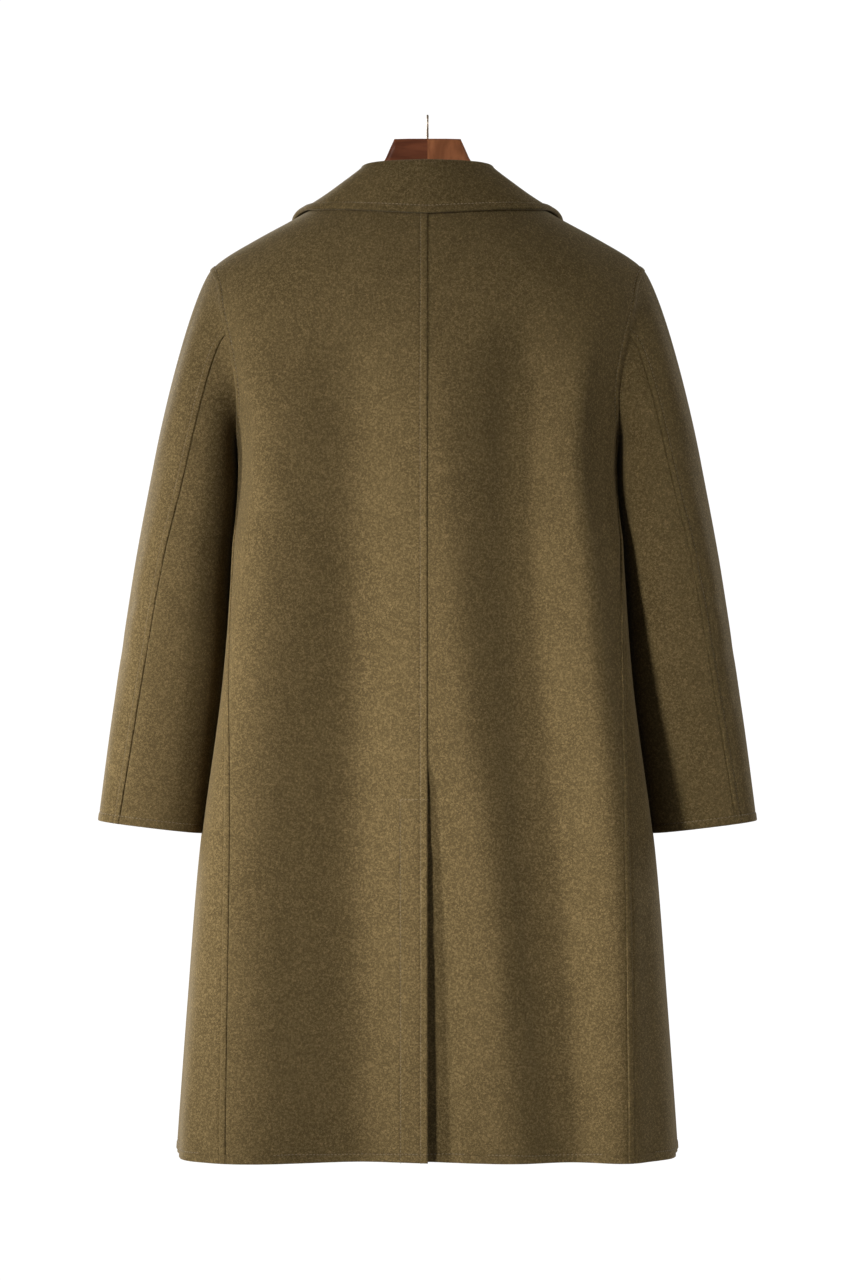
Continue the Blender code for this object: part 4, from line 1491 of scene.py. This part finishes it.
@dataclass
class Collar(ClothPiece):
    """Turned-down collar: a stand round the neck, a fold and a fall with pointed ends."""

    body: BodyForm
    end_deg: float = 177.5
    cut_deg: float = 17.0
    fold_radius: float = 0.0036
    seat: float = 0.0020
    foot_lift: float = 0.0008
    edge_strip: float = 0.0086
    strip_height: float = 0.0018
    strip_groove: float = 0.0013
    bulge_high: float = 0.0022
    bulge_low: float = 0.0014
    half_length: float = 0.39
    girth: float = 0.115
    first_row: float = 0.03
    columns: int = 250
    steps: int = 66

    FOOT_ROWS = (0.0, 0.004, 0.01, 0.02)

    def __post_init__(self) -> None:
        """Name the collar and its edges."""
        self.name = "collar"
        free = ("edge", "left", "right")
        sizes = (self.edge_strip, self.strip_height, self.strip_groove)
        self.strips = tuple(Strip(edge, *sizes) for edge in free)
        self.outline = ("foot",) + free

    def corners(self, angle: Array) -> list[Array]:
        """Middle line of the collar at angles round the neck.

        Args:
            angle: Signed angles from the centre back.

        Returns:
            Points from the foot over the fold to the edge.
        """
        body = self.body
        neckline = body.neck("neckline_z", angle)
        edge_z = body.neck("edge_z", angle)
        height = body.neck("stand_height", angle)[..., None]
        lean = body.neck("stand_lean", angle)[..., None]
        up = np.array([0.0, 0.0, 1.0])
        foot = body.point(Side.RIGHT, angle, neckline)
        outward = unit(foot * np.array([1.0, 1.0, 0.0]))
        edge_normal = body.normal(Side.RIGHT, angle, edge_z)
        edge = body.point(Side.RIGHT, angle, edge_z) + edge_normal * (self.seat + CLOTH.collar_wall / 2.0)
        crest = foot - outward * lean + up * height
        bend = crest + outward * 2.0 * self.fold_radius - up * self.fold_radius
        fall = edge - bend
        bulge = edge_normal * np.abs(np.cos(np.radians(angle)))[..., None]
        return [
            foot - outward * CLOTH.collar_wall / 2.0 + up * self.foot_lift,
            foot - outward * lean * 0.55 + up * height * 0.5,
            crest - up * self.fold_radius,
            crest + outward * self.fold_radius,
            bend,
            bend + fall * 0.35 + bulge * self.bulge_high,
            bend + fall * 0.70 + bulge * self.bulge_low,
            edge,
        ]

    def surface(self, share: Array, row: Array) -> Array:
        """Points of the collar's middle.

        Args:
            share: -1 at the left end, 1 at the right end.
            row: 0 at the foot, 1 at the fall's edge.

        Returns:
            Points.
        """
        share, row = np.broadcast_arrays(share, row)
        cut = self.cut_deg * smoothstep(0.5, 1.0, row) * smoothstep(0.6, 1.0, np.abs(share))
        angle = share * self.end_deg - np.sign(share) * cut
        corners = np.stack(self.corners(angle))
        last = len(corners) - 1
        place = row * last
        index = np.minimum(last - 1, place.astype(int))
        pick = np.indices(index.shape)
        here = corners[(index, *pick)]
        after = corners[(index + 1, *pick)]
        leave = (after - corners[(np.maximum(index - 1, 0), *pick)]) / 2.0
        arrive = (corners[(np.minimum(index + 2, last), *pick)] - here) / 2.0
        points = hermite(here, after, leave, arrive, (place - index)[..., None])
        outward = self.body.normal(Side.RIGHT, angle, points[..., 2])
        on_body = self.body.point(Side.RIGHT, angle, points[..., 2])
        clearance = ((points - on_body) * outward).sum(axis=-1)
        lift = np.maximum(0.0, self.seat + CLOTH.collar_wall / 2.0 - clearance)
        return points + outward * (lift * (row >= 0.5))[..., None]

    def lay_out(self) -> Shell:
        """Lay out the collar from end to end.

        Returns:
            The collar's shell.
        """
        half = CLOTH.collar_wall / 2.0
        shell = Shell(half, -half)
        ends = np.array(edge_lines(self.edge_strip)) / self.half_length
        middle = np.linspace(-1.0 + ends[-1], 1.0 - ends[-1], self.columns)[1:-1]
        share = np.concatenate((-1.0 + ends, middle, 1.0 - ends[::-1]))
        edge = np.array(edge_lines(self.edge_strip)) / self.girth
        between = np.linspace(self.first_row, 1.0 - edge[-1], self.steps)[:-1]
        row = np.concatenate((self.FOOT_ROWS, between, 1.0 - edge[::-1]))
        points = self.surface(share[None, :], row[:, None])
        round_way = np.gradient(points, share, axis=1)
        along_way = np.gradient(points, row, axis=0)
        index = shell.add(points, unit(np.cross(along_way, round_way)))
        shell.fill(index.T)
        shell.edges = {"foot": index[0], "edge": index[-1], "left": index[:, 0], "right": index[:, -1]}
        for end in ("left", "right"):
            shell.edges[end] = shell.edges[end][len(row) // 2 :]
        return shell


class Signal:
    """Output of a shader node, with arithmetic."""

    def __init__(self, graph: Graph, socket: bpy.types.NodeSocket) -> None:
        """Wrap a socket of a graph."""
        self.graph = graph
        self.socket = socket

    def math(self, operation: str, first: Any, second: Any) -> Signal:
        """Apply a Math node to two values."""
        return self.graph.node("ShaderNodeMath", {"operation": operation}, {0: first, 1: second})

    def __add__(self, other: Any) -> Signal:
        """Add a value."""
        return self.math("ADD", self, other)

    def __radd__(self, other: Any) -> Signal:
        """Add to a value."""
        return self.math("ADD", other, self)

    def __sub__(self, other: Any) -> Signal:
        """Take a value away."""
        return self.math("SUBTRACT", self, other)

    def __rsub__(self, other: Any) -> Signal:
        """Take from a value."""
        return self.math("SUBTRACT", other, self)

    def __mul__(self, other: Any) -> Signal:
        """Multiply by a value."""
        return self.math("MULTIPLY", self, other)

    def __rmul__(self, other: Any) -> Signal:
        """Multiply a value."""
        return self.math("MULTIPLY", other, self)

    def __abs__(self) -> Signal:
        """Drop the sign."""
        return self.math("ABSOLUTE", self, 0.0)

    def eased(self, start: float, end: float) -> Signal:
        """Ease from 0 at start to 1 at end.

        Args:
            start: Value that gives 0.
            end: Value that gives 1.

        Returns:
            The eased value.
        """
        settings = {"interpolation_type": "SMOOTHSTEP"}
        inputs = {"Value": self, "From Min": start, "From Max": end}
        return self.graph.node("ShaderNodeMapRange", settings, inputs)


class Graph:
    """Node tree of one material."""

    def __init__(self, name: str) -> None:
        """Make a new material and find its shader.

        Args:
            name: Name of the material.
        """
        self.material = bpy.data.materials.new(name)
        self.material.use_nodes = True
        self.tree = self.material.node_tree
        self.shader = self.tree.nodes["Principled BSDF"]

    def node(self, kind: str, settings: dict[str, Any], inputs: dict[Any, Any], output: Any = 0) -> Signal:
        """Add one node.

        Args:
            kind: Node type.
            settings: Its properties.
            inputs: Its inputs by name or number, as signals or constants.
            output: Name or number of the output to hand back.

        Returns:
            That output.
        """
        node = self.tree.nodes.new(kind)
        for name, value in settings.items():
            setattr(node, name, value)
        for name, value in inputs.items():
            self.feed(node.inputs[name], value)
        return Signal(self, node.outputs[output])

    def feed(self, socket: bpy.types.NodeSocket, value: Any) -> None:
        """Link a signal to a socket, or set a constant on it.

        Args:
            socket: Input of a node.
            value: Signal or constant.
        """
        if isinstance(value, Signal):
            self.tree.links.new(value.socket, socket)
        else:
            socket.default_value = value

    def place(self, scale: tuple[float, float, float] = (1.0, 1.0, 1.0)) -> Signal:
        """Place on the object in metres, stretched by a scale.

        Args:
            scale: Factor along each axis.

        Returns:
            A vector.
        """
        spot = self.node("ShaderNodeTexCoord", {}, {}, "Object")
        return self.node("ShaderNodeVectorMath", {"operation": "MULTIPLY"}, {0: spot, 1: scale})

    def noise(self, vector: Signal, scale: float, detail: float = 2.0, distortion: float = 0.0) -> Signal:
        """Cloudy noise from 0 to 1.

        Args:
            vector: Place.
            scale: Size of its clouds, as how many to a metre.
            detail: Finer layers on it.
            distortion: How much it curls.

        Returns:
            The noise.
        """
        inputs = {"Vector": vector, "Scale": scale, "Detail": detail, "Distortion": distortion}
        return self.node("ShaderNodeTexNoise", {}, inputs, 0)

    def mix(self, share: Any, first: Any, second: Any) -> Signal:
        """Mix two colours.

        Args:
            share: 0 for the first, 1 for the second.
            first: Colour.
            second: Colour.

        Returns:
            The mixed colour.
        """
        return self.node("ShaderNodeMix", {"data_type": "RGBA"}, {0: share, 6: first, 7: second}, 2)

    def bump(self, height: Signal, strength: float, distance: float) -> Signal:
        """Normal from a height.

        Args:
            height: Height from 0 to 1.
            strength: How strongly it shows.
            distance: Height of 1 in metres.

        Returns:
            The normal.
        """
        inputs = {"Strength": strength, "Distance": distance, "Height": height}
        return self.node("ShaderNodeBump", {}, inputs)

    def set(self, **values: Any) -> None:
        """Set the shader's inputs, with _ for a space in their names."""
        for name, value in values.items():
            self.feed(self.shader.inputs[name.replace("_", " ")], value)


@dataclass(frozen=True)
class WoolFinish:
    """Felted wool with a short curly nap."""

    name: str = "wool"
    ground: Colour = (0.052, 0.0348, 0.0118, 1.0)
    fibre: Colour = (0.255, 0.180, 0.078, 1.0)
    curl_scale: float = 300.0
    fleck_scale: float = 760.0
    sheen: float = 0.16

    def material(self) -> bpy.types.Material:
        """Make the material.

        Returns:
            Wool with fibres in its colour and its bump.
        """
        graph = Graph(self.name)
        spot = graph.place()
        curl = 1.0 - abs(graph.noise(spot, self.curl_scale, 2.0, 2.2) - 0.5) * 11.0
        gaps = graph.noise(spot, self.curl_scale * 1.3, 1.0, 0.5).eased(0.44, 0.58)
        curl = curl.eased(0.0, 1.0) * gaps
        fine = graph.noise(spot, self.fleck_scale, 2.0, 0.8).eased(0.38, 0.72)
        broad = graph.noise(spot, 26.0, 3.0).eased(0.30, 0.70)
        share = curl * 0.42 + fine * 0.22 + broad * 0.04
        graph.set(
            Base_Color=graph.mix(share, self.ground, self.fibre),
            Roughness=0.88 + fine * 0.08,
            Normal=graph.bump(curl * 0.7 + fine * 0.4, 0.25, 0.0007),
            Sheen_Weight=self.sheen,
            Sheen_Roughness=0.42,
            Sheen_Tint=(0.95, 0.78, 0.50, 1.0),
            Specular_IOR_Level=0.12,
        )
        return graph.material


@dataclass(frozen=True)
class ThreadFinish:
    """Sewing thread, a little lighter than the cloth."""

    name: str = "thread"
    dark: Colour = (0.105, 0.076, 0.036, 1.0)
    light: Colour = (0.185, 0.140, 0.074, 1.0)

    def material(self) -> bpy.types.Material:
        """Make the material.

        Returns:
            Thread with a fine twist.
        """
        graph = Graph(self.name)
        twist = graph.noise(graph.place(), 1400.0, 2.0).eased(0.3, 0.7)
        graph.set(
            Base_Color=graph.mix(twist, self.dark, self.light),
            Roughness=0.70 + twist * 0.12,
            Normal=graph.bump(twist, 0.3, 0.0002),
            Sheen_Weight=0.15,
            Specular_IOR_Level=0.25,
        )
        return graph.material


@dataclass(frozen=True)
class WoodFinish:
    """Varnished wood with its grain along one direction."""

    name: str
    dark: Colour
    light: Colour
    stretch: tuple[float, float, float]

    def material(self) -> bpy.types.Material:
        """Make the material.

        Returns:
            Wood with grain in its colour, gloss and bump.
        """
        graph = Graph(self.name)
        spot = graph.place(self.stretch)
        grain = graph.noise(spot, 60.0, 5.0, 0.6).eased(0.30, 0.72)
        pores = graph.noise(spot, 420.0, 2.0, 0.2).eased(0.52, 0.75)
        graph.set(
            Base_Color=graph.mix(pores * 0.35, graph.mix(grain, self.dark, self.light), self.dark),
            Roughness=0.34 + grain * 0.12,
            Normal=graph.bump(grain * 0.5 + pores, 0.10, 0.0004),
            Coat_Weight=0.08,
            Coat_Roughness=0.35,
            Specular_IOR_Level=0.25,
        )
        return graph.material


@dataclass(frozen=True)
class WireFinish:
    """Drawn wire, dulled and tan."""

    name: str = "wire"
    dark: Colour = (0.30, 0.235, 0.175, 1.0)
    light: Colour = (0.52, 0.43, 0.34, 1.0)

    def material(self) -> bpy.types.Material:
        """Make the material.

        Returns:
            Metal with fine drawn lines.
        """
        graph = Graph(self.name)
        worn = graph.noise(graph.place((1.0, 1.0, 0.3)), 500.0, 3.0).eased(0.3, 0.7)
        graph.set(
            Base_Color=graph.mix(worn, self.dark, self.light),
            Roughness=0.30 + worn * 0.16,
            Metallic=0.35,
            Normal=graph.bump(worn, 0.08, 0.0002),
        )
        return graph.material


@dataclass(frozen=True)
class HornFinish:
    """Dark horn with paler streaks."""

    name: str = "horn"
    dark: Colour = (0.020, 0.012, 0.007, 1.0)
    light: Colour = (0.085, 0.050, 0.026, 1.0)

    def material(self) -> bpy.types.Material:
        """Make the material.

        Returns:
            Polished horn.
        """
        graph = Graph(self.name)
        streak = graph.noise(graph.place((1.0, 1.0, 0.35)), 120.0, 4.0, 1.2).eased(0.35, 0.70)
        graph.set(
            Base_Color=graph.mix(streak, self.dark, self.light),
            Roughness=0.28 + streak * 0.14,
            Normal=graph.bump(streak, 0.05, 0.0003),
        )
        return graph.material


@dataclass(frozen=True)
class FloorFinish:
    """Matt pale floor."""

    name: str = "floor"
    colour: Colour = (0.93, 0.93, 0.92, 1.0)
    mottle: Colour = (0.84, 0.84, 0.83, 1.0)

    def material(self) -> bpy.types.Material:
        """Make the material.

        Returns:
            Pale floor with a faint mottle.
        """
        graph = Graph(self.name)
        clouds = graph.noise(graph.place(), 6.0, 3.0)
        graph.set(Base_Color=graph.mix(clouds * 0.08, self.colour, self.mottle), Roughness=0.9)
        return graph.material


@dataclass(frozen=True)
class WoodSection:
    """Hanger section at one reach from the centre; top_z above 0 lies under the shoulder cloth."""

    reach: float
    top_z: float
    height: float
    half_thickness: float


UNDER_CLOTH = 1.0
WOOD_SECTIONS = (
    WoodSection(0.0, -0.0245, 0.086, 0.0115),
    WoodSection(0.0200, -0.0245, 0.085, 0.0115),
    WoodSection(0.0360, -0.0249, 0.082, 0.0115),
    WoodSection(0.0400, -0.0335, 0.073, 0.0116),
    WoodSection(0.0450, -0.0450, 0.063, 0.0118),
    WoodSection(0.0530, -0.0590, 0.053, 0.0122),
    WoodSection(0.0660, -0.0720, 0.046, 0.0130),
    WoodSection(0.0900, UNDER_CLOTH, 0.042, 0.0150),
    WoodSection(0.1200, UNDER_CLOTH, 0.038, 0.0175),
    WoodSection(0.1500, UNDER_CLOTH, 0.035, 0.0185),
    WoodSection(0.1800, UNDER_CLOTH, 0.032, 0.0185),
    WoodSection(0.2000, UNDER_CLOTH, 0.026, 0.0165),
    WoodSection(0.2100, UNDER_CLOTH, 0.015, 0.0120),
)


@dataclass
class Hanger:
    """Shaped wooden half of the hanger, from the centre joint to the shoulder end."""

    body: BodyForm
    side: Side
    seat: float = 0.0008
    bevel: float = 0.0026
    roundness: float = 0.6
    round_start: float = 0.052
    round_full: float = 0.075
    steepest: float = 2.6
    slope_step: float = 0.001
    halvings: int = 40
    sides: int = 48
    rows: int = 120

    def shoulder_line(self, reach: float) -> tuple[float, float]:
        """Height and slope of the shoulder's cloth at a reach.

        Args:
            reach: Distance from the centre.

        Returns:
            Height and slope angle.
        """
        read = self.body.SECTIONS.read
        step = 0.002
        low, high = self.body.tip_z - 2.0 * step, BODY_SECTIONS[0].z
        for _ in range(self.halvings):
            middle = (low + high) / 2.0
            if read("half_width", middle) > reach:
                low = middle
            else:
                high = middle
        change = float(read("half_width", low - step) - read("half_width", low + step))
        return low, math.atan2(2.0 * step, change)

    def table(self) -> SmoothTable:
        """Sections with every top height worked out.

        Returns:
            The sections by reach.
        """
        rows = []
        for row in WOOD_SECTIONS:
            top = row.top_z
            if top == UNDER_CLOTH:
                height, slope = self.shoulder_line(row.reach)
                top = height - (CLOTH.wall + self.seat) / math.cos(slope)
            rows.append(WoodSection(row.reach, top, row.height, row.half_thickness))
        return SmoothTable(rows, "reach")

    def ring(self, table: SmoothTable, reach: float) -> Array:
        """Section at one reach: bevelled at the neck, rounded along the arm.

        Args:
            table: The hanger's sections.
            reach: Distance from the centre.

        Returns:
            Points round the section.
        """
        top = np.interp(reach, table.keys, table.columns["top_z"])
        height = np.interp(reach, table.keys, table.columns["height"])
        thick = np.interp(reach, table.keys, table.columns["half_thickness"])
        angle = 2.0 * np.pi * np.arange(self.sides) / self.sides
        sine, cosine = np.sin(angle), np.cos(angle)
        round_y = thick * np.sign(sine) * np.abs(sine) ** self.roundness
        round_z = height / 2.0 * cosine
        box = np.maximum(np.abs(sine), np.abs(cosine))
        flat_y = thick * sine / box
        flat_z = height / 2.0 * cosine / box
        next_top = np.interp(reach + self.slope_step, table.keys, table.columns["top_z"])
        slope = abs(next_top - top) / self.slope_step
        cut = self.bevel * math.sqrt(1.0 + min(slope, self.steepest) ** 2)
        past_y = (np.abs(flat_y) - (thick - self.bevel)) / self.bevel
        past_z = (np.abs(flat_z) - (height / 2.0 - cut)) / cut
        over = np.maximum(0.0, past_y + past_z - 1.0)
        flat_y = flat_y - np.sign(flat_y) * over * self.bevel / 2.0
        flat_z = flat_z - np.sign(flat_z) * over * cut / 2.0
        share = float(smoothstep(self.round_start, self.round_full, reach))
        y = flat_y + (round_y - flat_y) * share
        z = top - height / 2.0 + flat_z + (round_z - flat_z) * share
        return np.stack((np.full(self.sides, self.side.value * reach), y, z), axis=-1)

    def make(self) -> bpy.types.Object:
        """Build the wooden half.

        Returns:
            The new object.
        """
        table = self.table()
        keys = table.keys
        reaches = np.unique(np.concatenate((np.linspace(keys[0], keys[-1], self.rows), keys)))
        rings = np.array([self.ring(table, reach) for reach in reaches])
        return tube(f"wood_{self.side.word}", rings, self.side is Side.RIGHT)


SHARP_DEG = 35.0


def tube(name: str, rings: Array, turned: bool) -> bpy.types.Object:
    """Skin rings of points and close both ends.

    Args:
        name: Name of the piece.
        rings: Points by ring and step.
        turned: Whether the faces run the other way round.

    Returns:
        The new object.
    """
    count, sides = rings.shape[:2]
    index = np.arange(count * sides).reshape(count, sides)
    after = np.roll(index, -1, axis=1)
    quads = np.stack((index[:-1], after[:-1], after[1:], index[1:]), axis=-1).reshape(-1, 4)
    faces = quads.tolist() + [index[0][::-1].tolist(), index[-1].tolist()]
    if turned:
        faces = [face[::-1] for face in faces]
    piece = make_object(name, rings.reshape(-1, 3), faces)
    piece.data.set_sharp_from_angle(angle=math.radians(SHARP_DEG))
    return piece


@dataclass
class Hook:
    """Bent wire standing on the hanger's neck."""

    wood_top_z: float = -0.0245
    wire: float = 0.0013
    inner_radius: float = 0.0085
    stem: float = 0.0030
    bend_height: float = 0.0062
    bend_share: float = 0.45
    tip_share: float = 0.03
    tip_least: float = 0.02
    steps: int = 150
    sides: int = 16

    ARC_DEG = range(-115, 111, 25)

    def make(self) -> bpy.types.Object:
        """Build the hook.

        Returns:
            The new object.
        """
        radius = self.inner_radius + self.wire
        corners = [
            (0.0, 0.0, self.wood_top_z + CLOTH.seam_gap),
            (0.0, 0.0, self.wood_top_z + self.stem),
            (0.0, -radius * self.bend_share, self.wood_top_z + self.bend_height),
        ]
        for degrees in self.ARC_DEG:
            angle = math.radians(degrees)
            corners.append((0.0, radius * math.sin(angle), radius * math.cos(angle) - self.inner_radius))
        line = self.curve(np.array(corners))
        along = unit(np.gradient(line, axis=0))
        aside = np.array([1.0, 0.0, 0.0])
        cross = unit(np.cross(aside, along))
        angle = 2.0 * np.pi * np.arange(self.sides) / self.sides
        share = np.linspace(0.0, 1.0, len(line))
        tip = np.maximum(self.tip_least, (1.0 - share) / self.tip_share)
        thick = self.wire * np.minimum(1.0, np.sqrt(tip))
        offset = aside * np.cos(angle)[None, :, None] + cross[:, None, :] * np.sin(angle)[None, :, None]
        return tube("hook_wire", line[:, None, :] + offset * thick[:, None, None], True)

    def curve(self, corners: Array) -> Array:
        """Smooth line through corners.

        Args:
            corners: Points to pass through.

        Returns:
            Closely spaced points.
        """
        last = len(corners) - 1
        place = np.linspace(0.0, last, self.steps)
        index = np.minimum(last - 1, place.astype(int))
        leave = (corners[index + 1] - corners[np.maximum(index - 1, 0)]) / 2.0
        arrive = (corners[np.minimum(index + 2, last)] - corners[index]) / 2.0
        return hermite(corners[index], corners[index + 1], leave, arrive, (place - index)[:, None])


def circle(radius: float, sides: int, z: float, x: float = 0.0, y: float = 0.0) -> Array:
    """Points of a level circle.

    Args:
        radius: Its radius.
        sides: Number of points.
        z: Its height.
        x: Place of its middle.
        y: Place of its middle.

    Returns:
        Points round it.
    """
    angle = 2.0 * np.pi * np.arange(sides) / sides
    return np.stack((x + radius * np.cos(angle), y + radius * np.sin(angle), np.full(sides, z)), axis=-1)


@dataclass
class Button:
    """Round horn button with a rim, a dished middle and four holes."""

    body: BodyForm
    number: int
    z: float
    radius: float = 0.0125
    thickness: float = 0.004
    hole_radius: float = 0.0011
    hole_reach: float = 0.0021
    hole_sides: int = 16
    sides: int = 64
    least_reach: float = 0.02

    HOLES_DEG = (45.0, 135.0, 225.0, 315.0)
    PROFILE = (
        (0.0, 0.05), (0.30, 0.05), (0.52, 0.10), (0.66, 0.35), (0.76, 0.80), (0.86, 1.0), (0.94, 0.92),
        (0.99, 0.55), (1.0, 0.0), (0.98, -0.6), (0.92, -0.92), (0.80, -1.0), (0.0, -1.0),
    )

    def make(self) -> bpy.types.Object:
        """Build the button in its place.

        Returns:
            The new object.
        """
        half = self.thickness / 2.0
        rings = [
            circle(max(reach, self.least_reach) * self.radius, self.sides, height * half)
            for reach, height in self.PROFILE
        ]
        piece = tube(f"horn_button_{self.number}", np.array(rings)[::-1], False)
        for turn_deg in self.HOLES_DEG:
            turn = math.radians(turn_deg)
            self.drill(piece, self.hole_reach * math.cos(turn), self.hole_reach * math.sin(turn))
        spot = (Side.RIGHT, np.array(180.0), np.array(self.z))
        outward = self.body.normal(*spot)
        centre = self.body.point(*spot) + outward * (CLOTH.seam_gap + half)
        matrix = Vector(outward).to_track_quat("Z", "Y").to_matrix().to_4x4()
        matrix.translation = Vector(centre)
        piece.data.transform(matrix)
        return piece

    def drill(self, piece: bpy.types.Object, x: float, y: float) -> None:
        """Cut one hole through the button.

        Args:
            piece: The button, flat at the origin.
            x: Place of the hole.
            y: Place of the hole.
        """
        ends = (-self.thickness, self.thickness)
        rings = [circle(self.hole_radius, self.hole_sides, z, x, y) for z in ends]
        cutter = tube("cutter", np.array(rings), False)
        cut = piece.modifiers.new("hole", "BOOLEAN")
        cut.object = cutter
        cut.operation = "DIFFERENCE"
        graph = bpy.context.evaluated_depsgraph_get()
        mesh = bpy.data.meshes.new_from_object(piece.evaluated_get(graph))
        piece.modifiers.clear()
        piece.data = mesh
        bpy.data.objects.remove(cutter, do_unlink=True)


@dataclass(frozen=True)
class Lamp:
    """Soft square light: its place, its side, its power in watts and its beam's angle in degrees."""

    name: str
    place: tuple[float, float, float]
    size: float
    power: float
    spread: float = 180.0


LAMPS = (
    Lamp("key", (-5.7, -1.75, -0.70), 1.0, 6.6, 16.0),
    Lamp("side", (-3.6, -4.6, 0.20), 1.0, 5.2, 17.0),
    Lamp("fill", (4.4, -2.4, 0.35), 1.6, 92.0),
    Lamp("front", (-2.6, 3.6, 0.5), 1.6, 230.0),
    Lamp("front_fill", (3.2, 3.0, 0.3), 1.6, 90.0),
)


@dataclass
class Studio:
    """Camera, soft light, white surroundings and a pale floor under the hanging coat."""

    distance: float = 5.0
    level: float = -0.570
    frame_height: float = 1.3952
    aside: float = -0.0011
    floor_z: float = -1.72
    floor_half: float = 1.4
    aim_z: float = -0.72
    world_light: float = 0.10
    world_white: float = 1.05

    def make(self) -> None:
        """Set the whole studio."""
        scene = bpy.context.scene
        scene.view_settings.view_transform = "Standard"
        self.add_camera(scene)
        self.add_world(scene)
        for lamp in LAMPS:
            self.add_light(scene, lamp)
        signs = ((-1.0, -1.0), (1.0, -1.0), (1.0, 1.0), (-1.0, 1.0))
        corners = [(x * self.floor_half, y * self.floor_half, self.floor_z) for x, y in signs]
        floor = make_object("floor", np.array(corners), [[0, 1, 2, 3]])
        floor.data.materials.append(FloorFinish().material())

    def add_camera(self, scene: bpy.types.Scene) -> None:
        """Look at the coat's back from straight behind.

        Args:
            scene: Scene to look at.
        """
        data = bpy.data.cameras.new("camera")
        data.sensor_width = 36.0
        data.lens = data.sensor_width * self.distance / self.frame_height
        camera = bpy.data.objects.new("camera", data)
        camera.location = (self.aside, -self.distance, self.level)
        camera.rotation_euler = (math.radians(90.0), 0.0, 0.0)
        scene.collection.objects.link(camera)
        scene.camera = camera

    def add_world(self, scene: bpy.types.Scene) -> None:
        """Surround the coat with white, dimmer as light than as background.

        Args:
            scene: Scene to surround.
        """
        world = bpy.data.worlds.new("surroundings")
        world.use_nodes = True
        nodes = world.node_tree.nodes
        path = nodes.new("ShaderNodeLightPath")
        strength = nodes.new("ShaderNodeMapRange")
        strength.inputs["To Min"].default_value = self.world_light
        strength.inputs["To Max"].default_value = self.world_white
        world.node_tree.links.new(path.outputs["Is Camera Ray"], strength.inputs["Value"])
        world.node_tree.links.new(strength.outputs[0], nodes["Background"].inputs["Strength"])
        nodes["Background"].inputs["Color"].default_value = (1.0, 1.0, 1.0, 1.0)
        scene.world = world

    def add_light(self, scene: bpy.types.Scene, lamp: Lamp) -> None:
        """Add a soft square light aimed at the coat.

        Args:
            scene: Scene to light.
            lamp: The light's sizes.
        """
        data = bpy.data.lights.new(lamp.name, "AREA")
        data.size = lamp.size
        data.energy = lamp.power
        data.spread = math.radians(lamp.spread)
        light = bpy.data.objects.new(lamp.name, data)
        light.location = lamp.place
        aim = Vector((0.0, 0.0, self.aim_z)) - Vector(lamp.place)
        light.rotation_euler = aim.to_track_quat("-Z", "Y").to_euler()
        scene.collection.objects.link(light)


class Coat:
    """Every piece of the coat and its hanger, dressed and placed on the frame."""

    BUTTON_HEIGHTS = (-0.235, -0.375, -0.515, -0.655)

    def __init__(self) -> None:
        """Make the body's form and the materials."""
        self.body = BodyForm()
        self.wool = WoolFinish().material()
        self.thread = ThreadFinish().material()
        pale = ThreadFinish("collar_thread", (0.16, 0.118, 0.058, 1.0), (0.33, 0.255, 0.145, 1.0))
        self.collar_thread = pale.material()

    def add(self, piece: bpy.types.Object, material: bpy.types.Material, slot: str) -> None:
        """Give a piece its material and its place on the frame.

        Args:
            piece: The piece.
            material: Its material.
            slot: Not used.
        """
        piece.data.materials.append(material)
        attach(piece, "root")
        LOG.info("%s: %d faces", piece.name, len(piece.data.polygons))

    def add_cloth(self, part: ClothPiece) -> None:
        """Build a sewn piece with its stitches, put both on the frame and hide its frame part.

        Args:
            part: The piece's design.
        """
        node = part.name
        cloth, stitches = part.make()
        cloth.name = f"cloth_{node}"
        self.add(cloth, self.wool, "wool")
        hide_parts(node)
        self.add(stitches, self.collar_thread if isinstance(part, Collar) else self.thread, "wool")

    def make(self) -> None:
        """Build every piece."""
        for side in Side:
            top_sleeve = SleevePanel(self.body, side, SleeveHalf.TOP)
            under_sleeve = SleevePanel(self.body, side, SleeveHalf.UNDER)
            self.add_cloth(BackPanel(self.body, side))
            self.add_cloth(FrontPanel(self.body, side))
            self.add_cloth(top_sleeve)
            self.add_cloth(under_sleeve)
        self.add_cloth(Collar(self.body))
        self.add_hanger()
        horn = HornFinish().material()
        for number, z in enumerate(self.BUTTON_HEIGHTS, start=1):
            button = Button(self.body, number, z).make()
            self.add(button, horn, "horn")
            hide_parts(f"button_{number}")

    def add_hanger(self) -> None:
        """Build the wooden halves and the hook."""
        # The two halves are lit and shaded copies of one wood. The left half's darker, redder tones are
        # painted shade and the right half's lighter tones are painted light, for the way each half's face
        # turns from or to the light. Their grain also runs different ways.
        finishes = {
            Side.LEFT: WoodFinish(
                "wood_dark", (0.074, 0.019, 0.007, 1.0), (0.194, 0.056, 0.021, 1.0), (0.12, 1.0, 1.0)
            ),
            Side.RIGHT: WoodFinish(
                "wood_light", (0.154, 0.049, 0.017, 1.0), (0.378, 0.138, 0.054, 1.0), (0.7, 1.0, 0.25)
            ),
        }
        for side in Side:
            wood = Hanger(self.body, side).make()
            self.add(wood, finishes[side].material(), "wood")
            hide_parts(f"hanger_{side.word}")
        hook = Hook().make()
        self.add(hook, WireFinish().material(), "wire")
        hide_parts("hook")


def main() -> None:
    """Load the frame, set up the studio and dress the frame."""
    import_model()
    Studio().make()
    Coat().make()


if __name__ == "__main__":
    main()
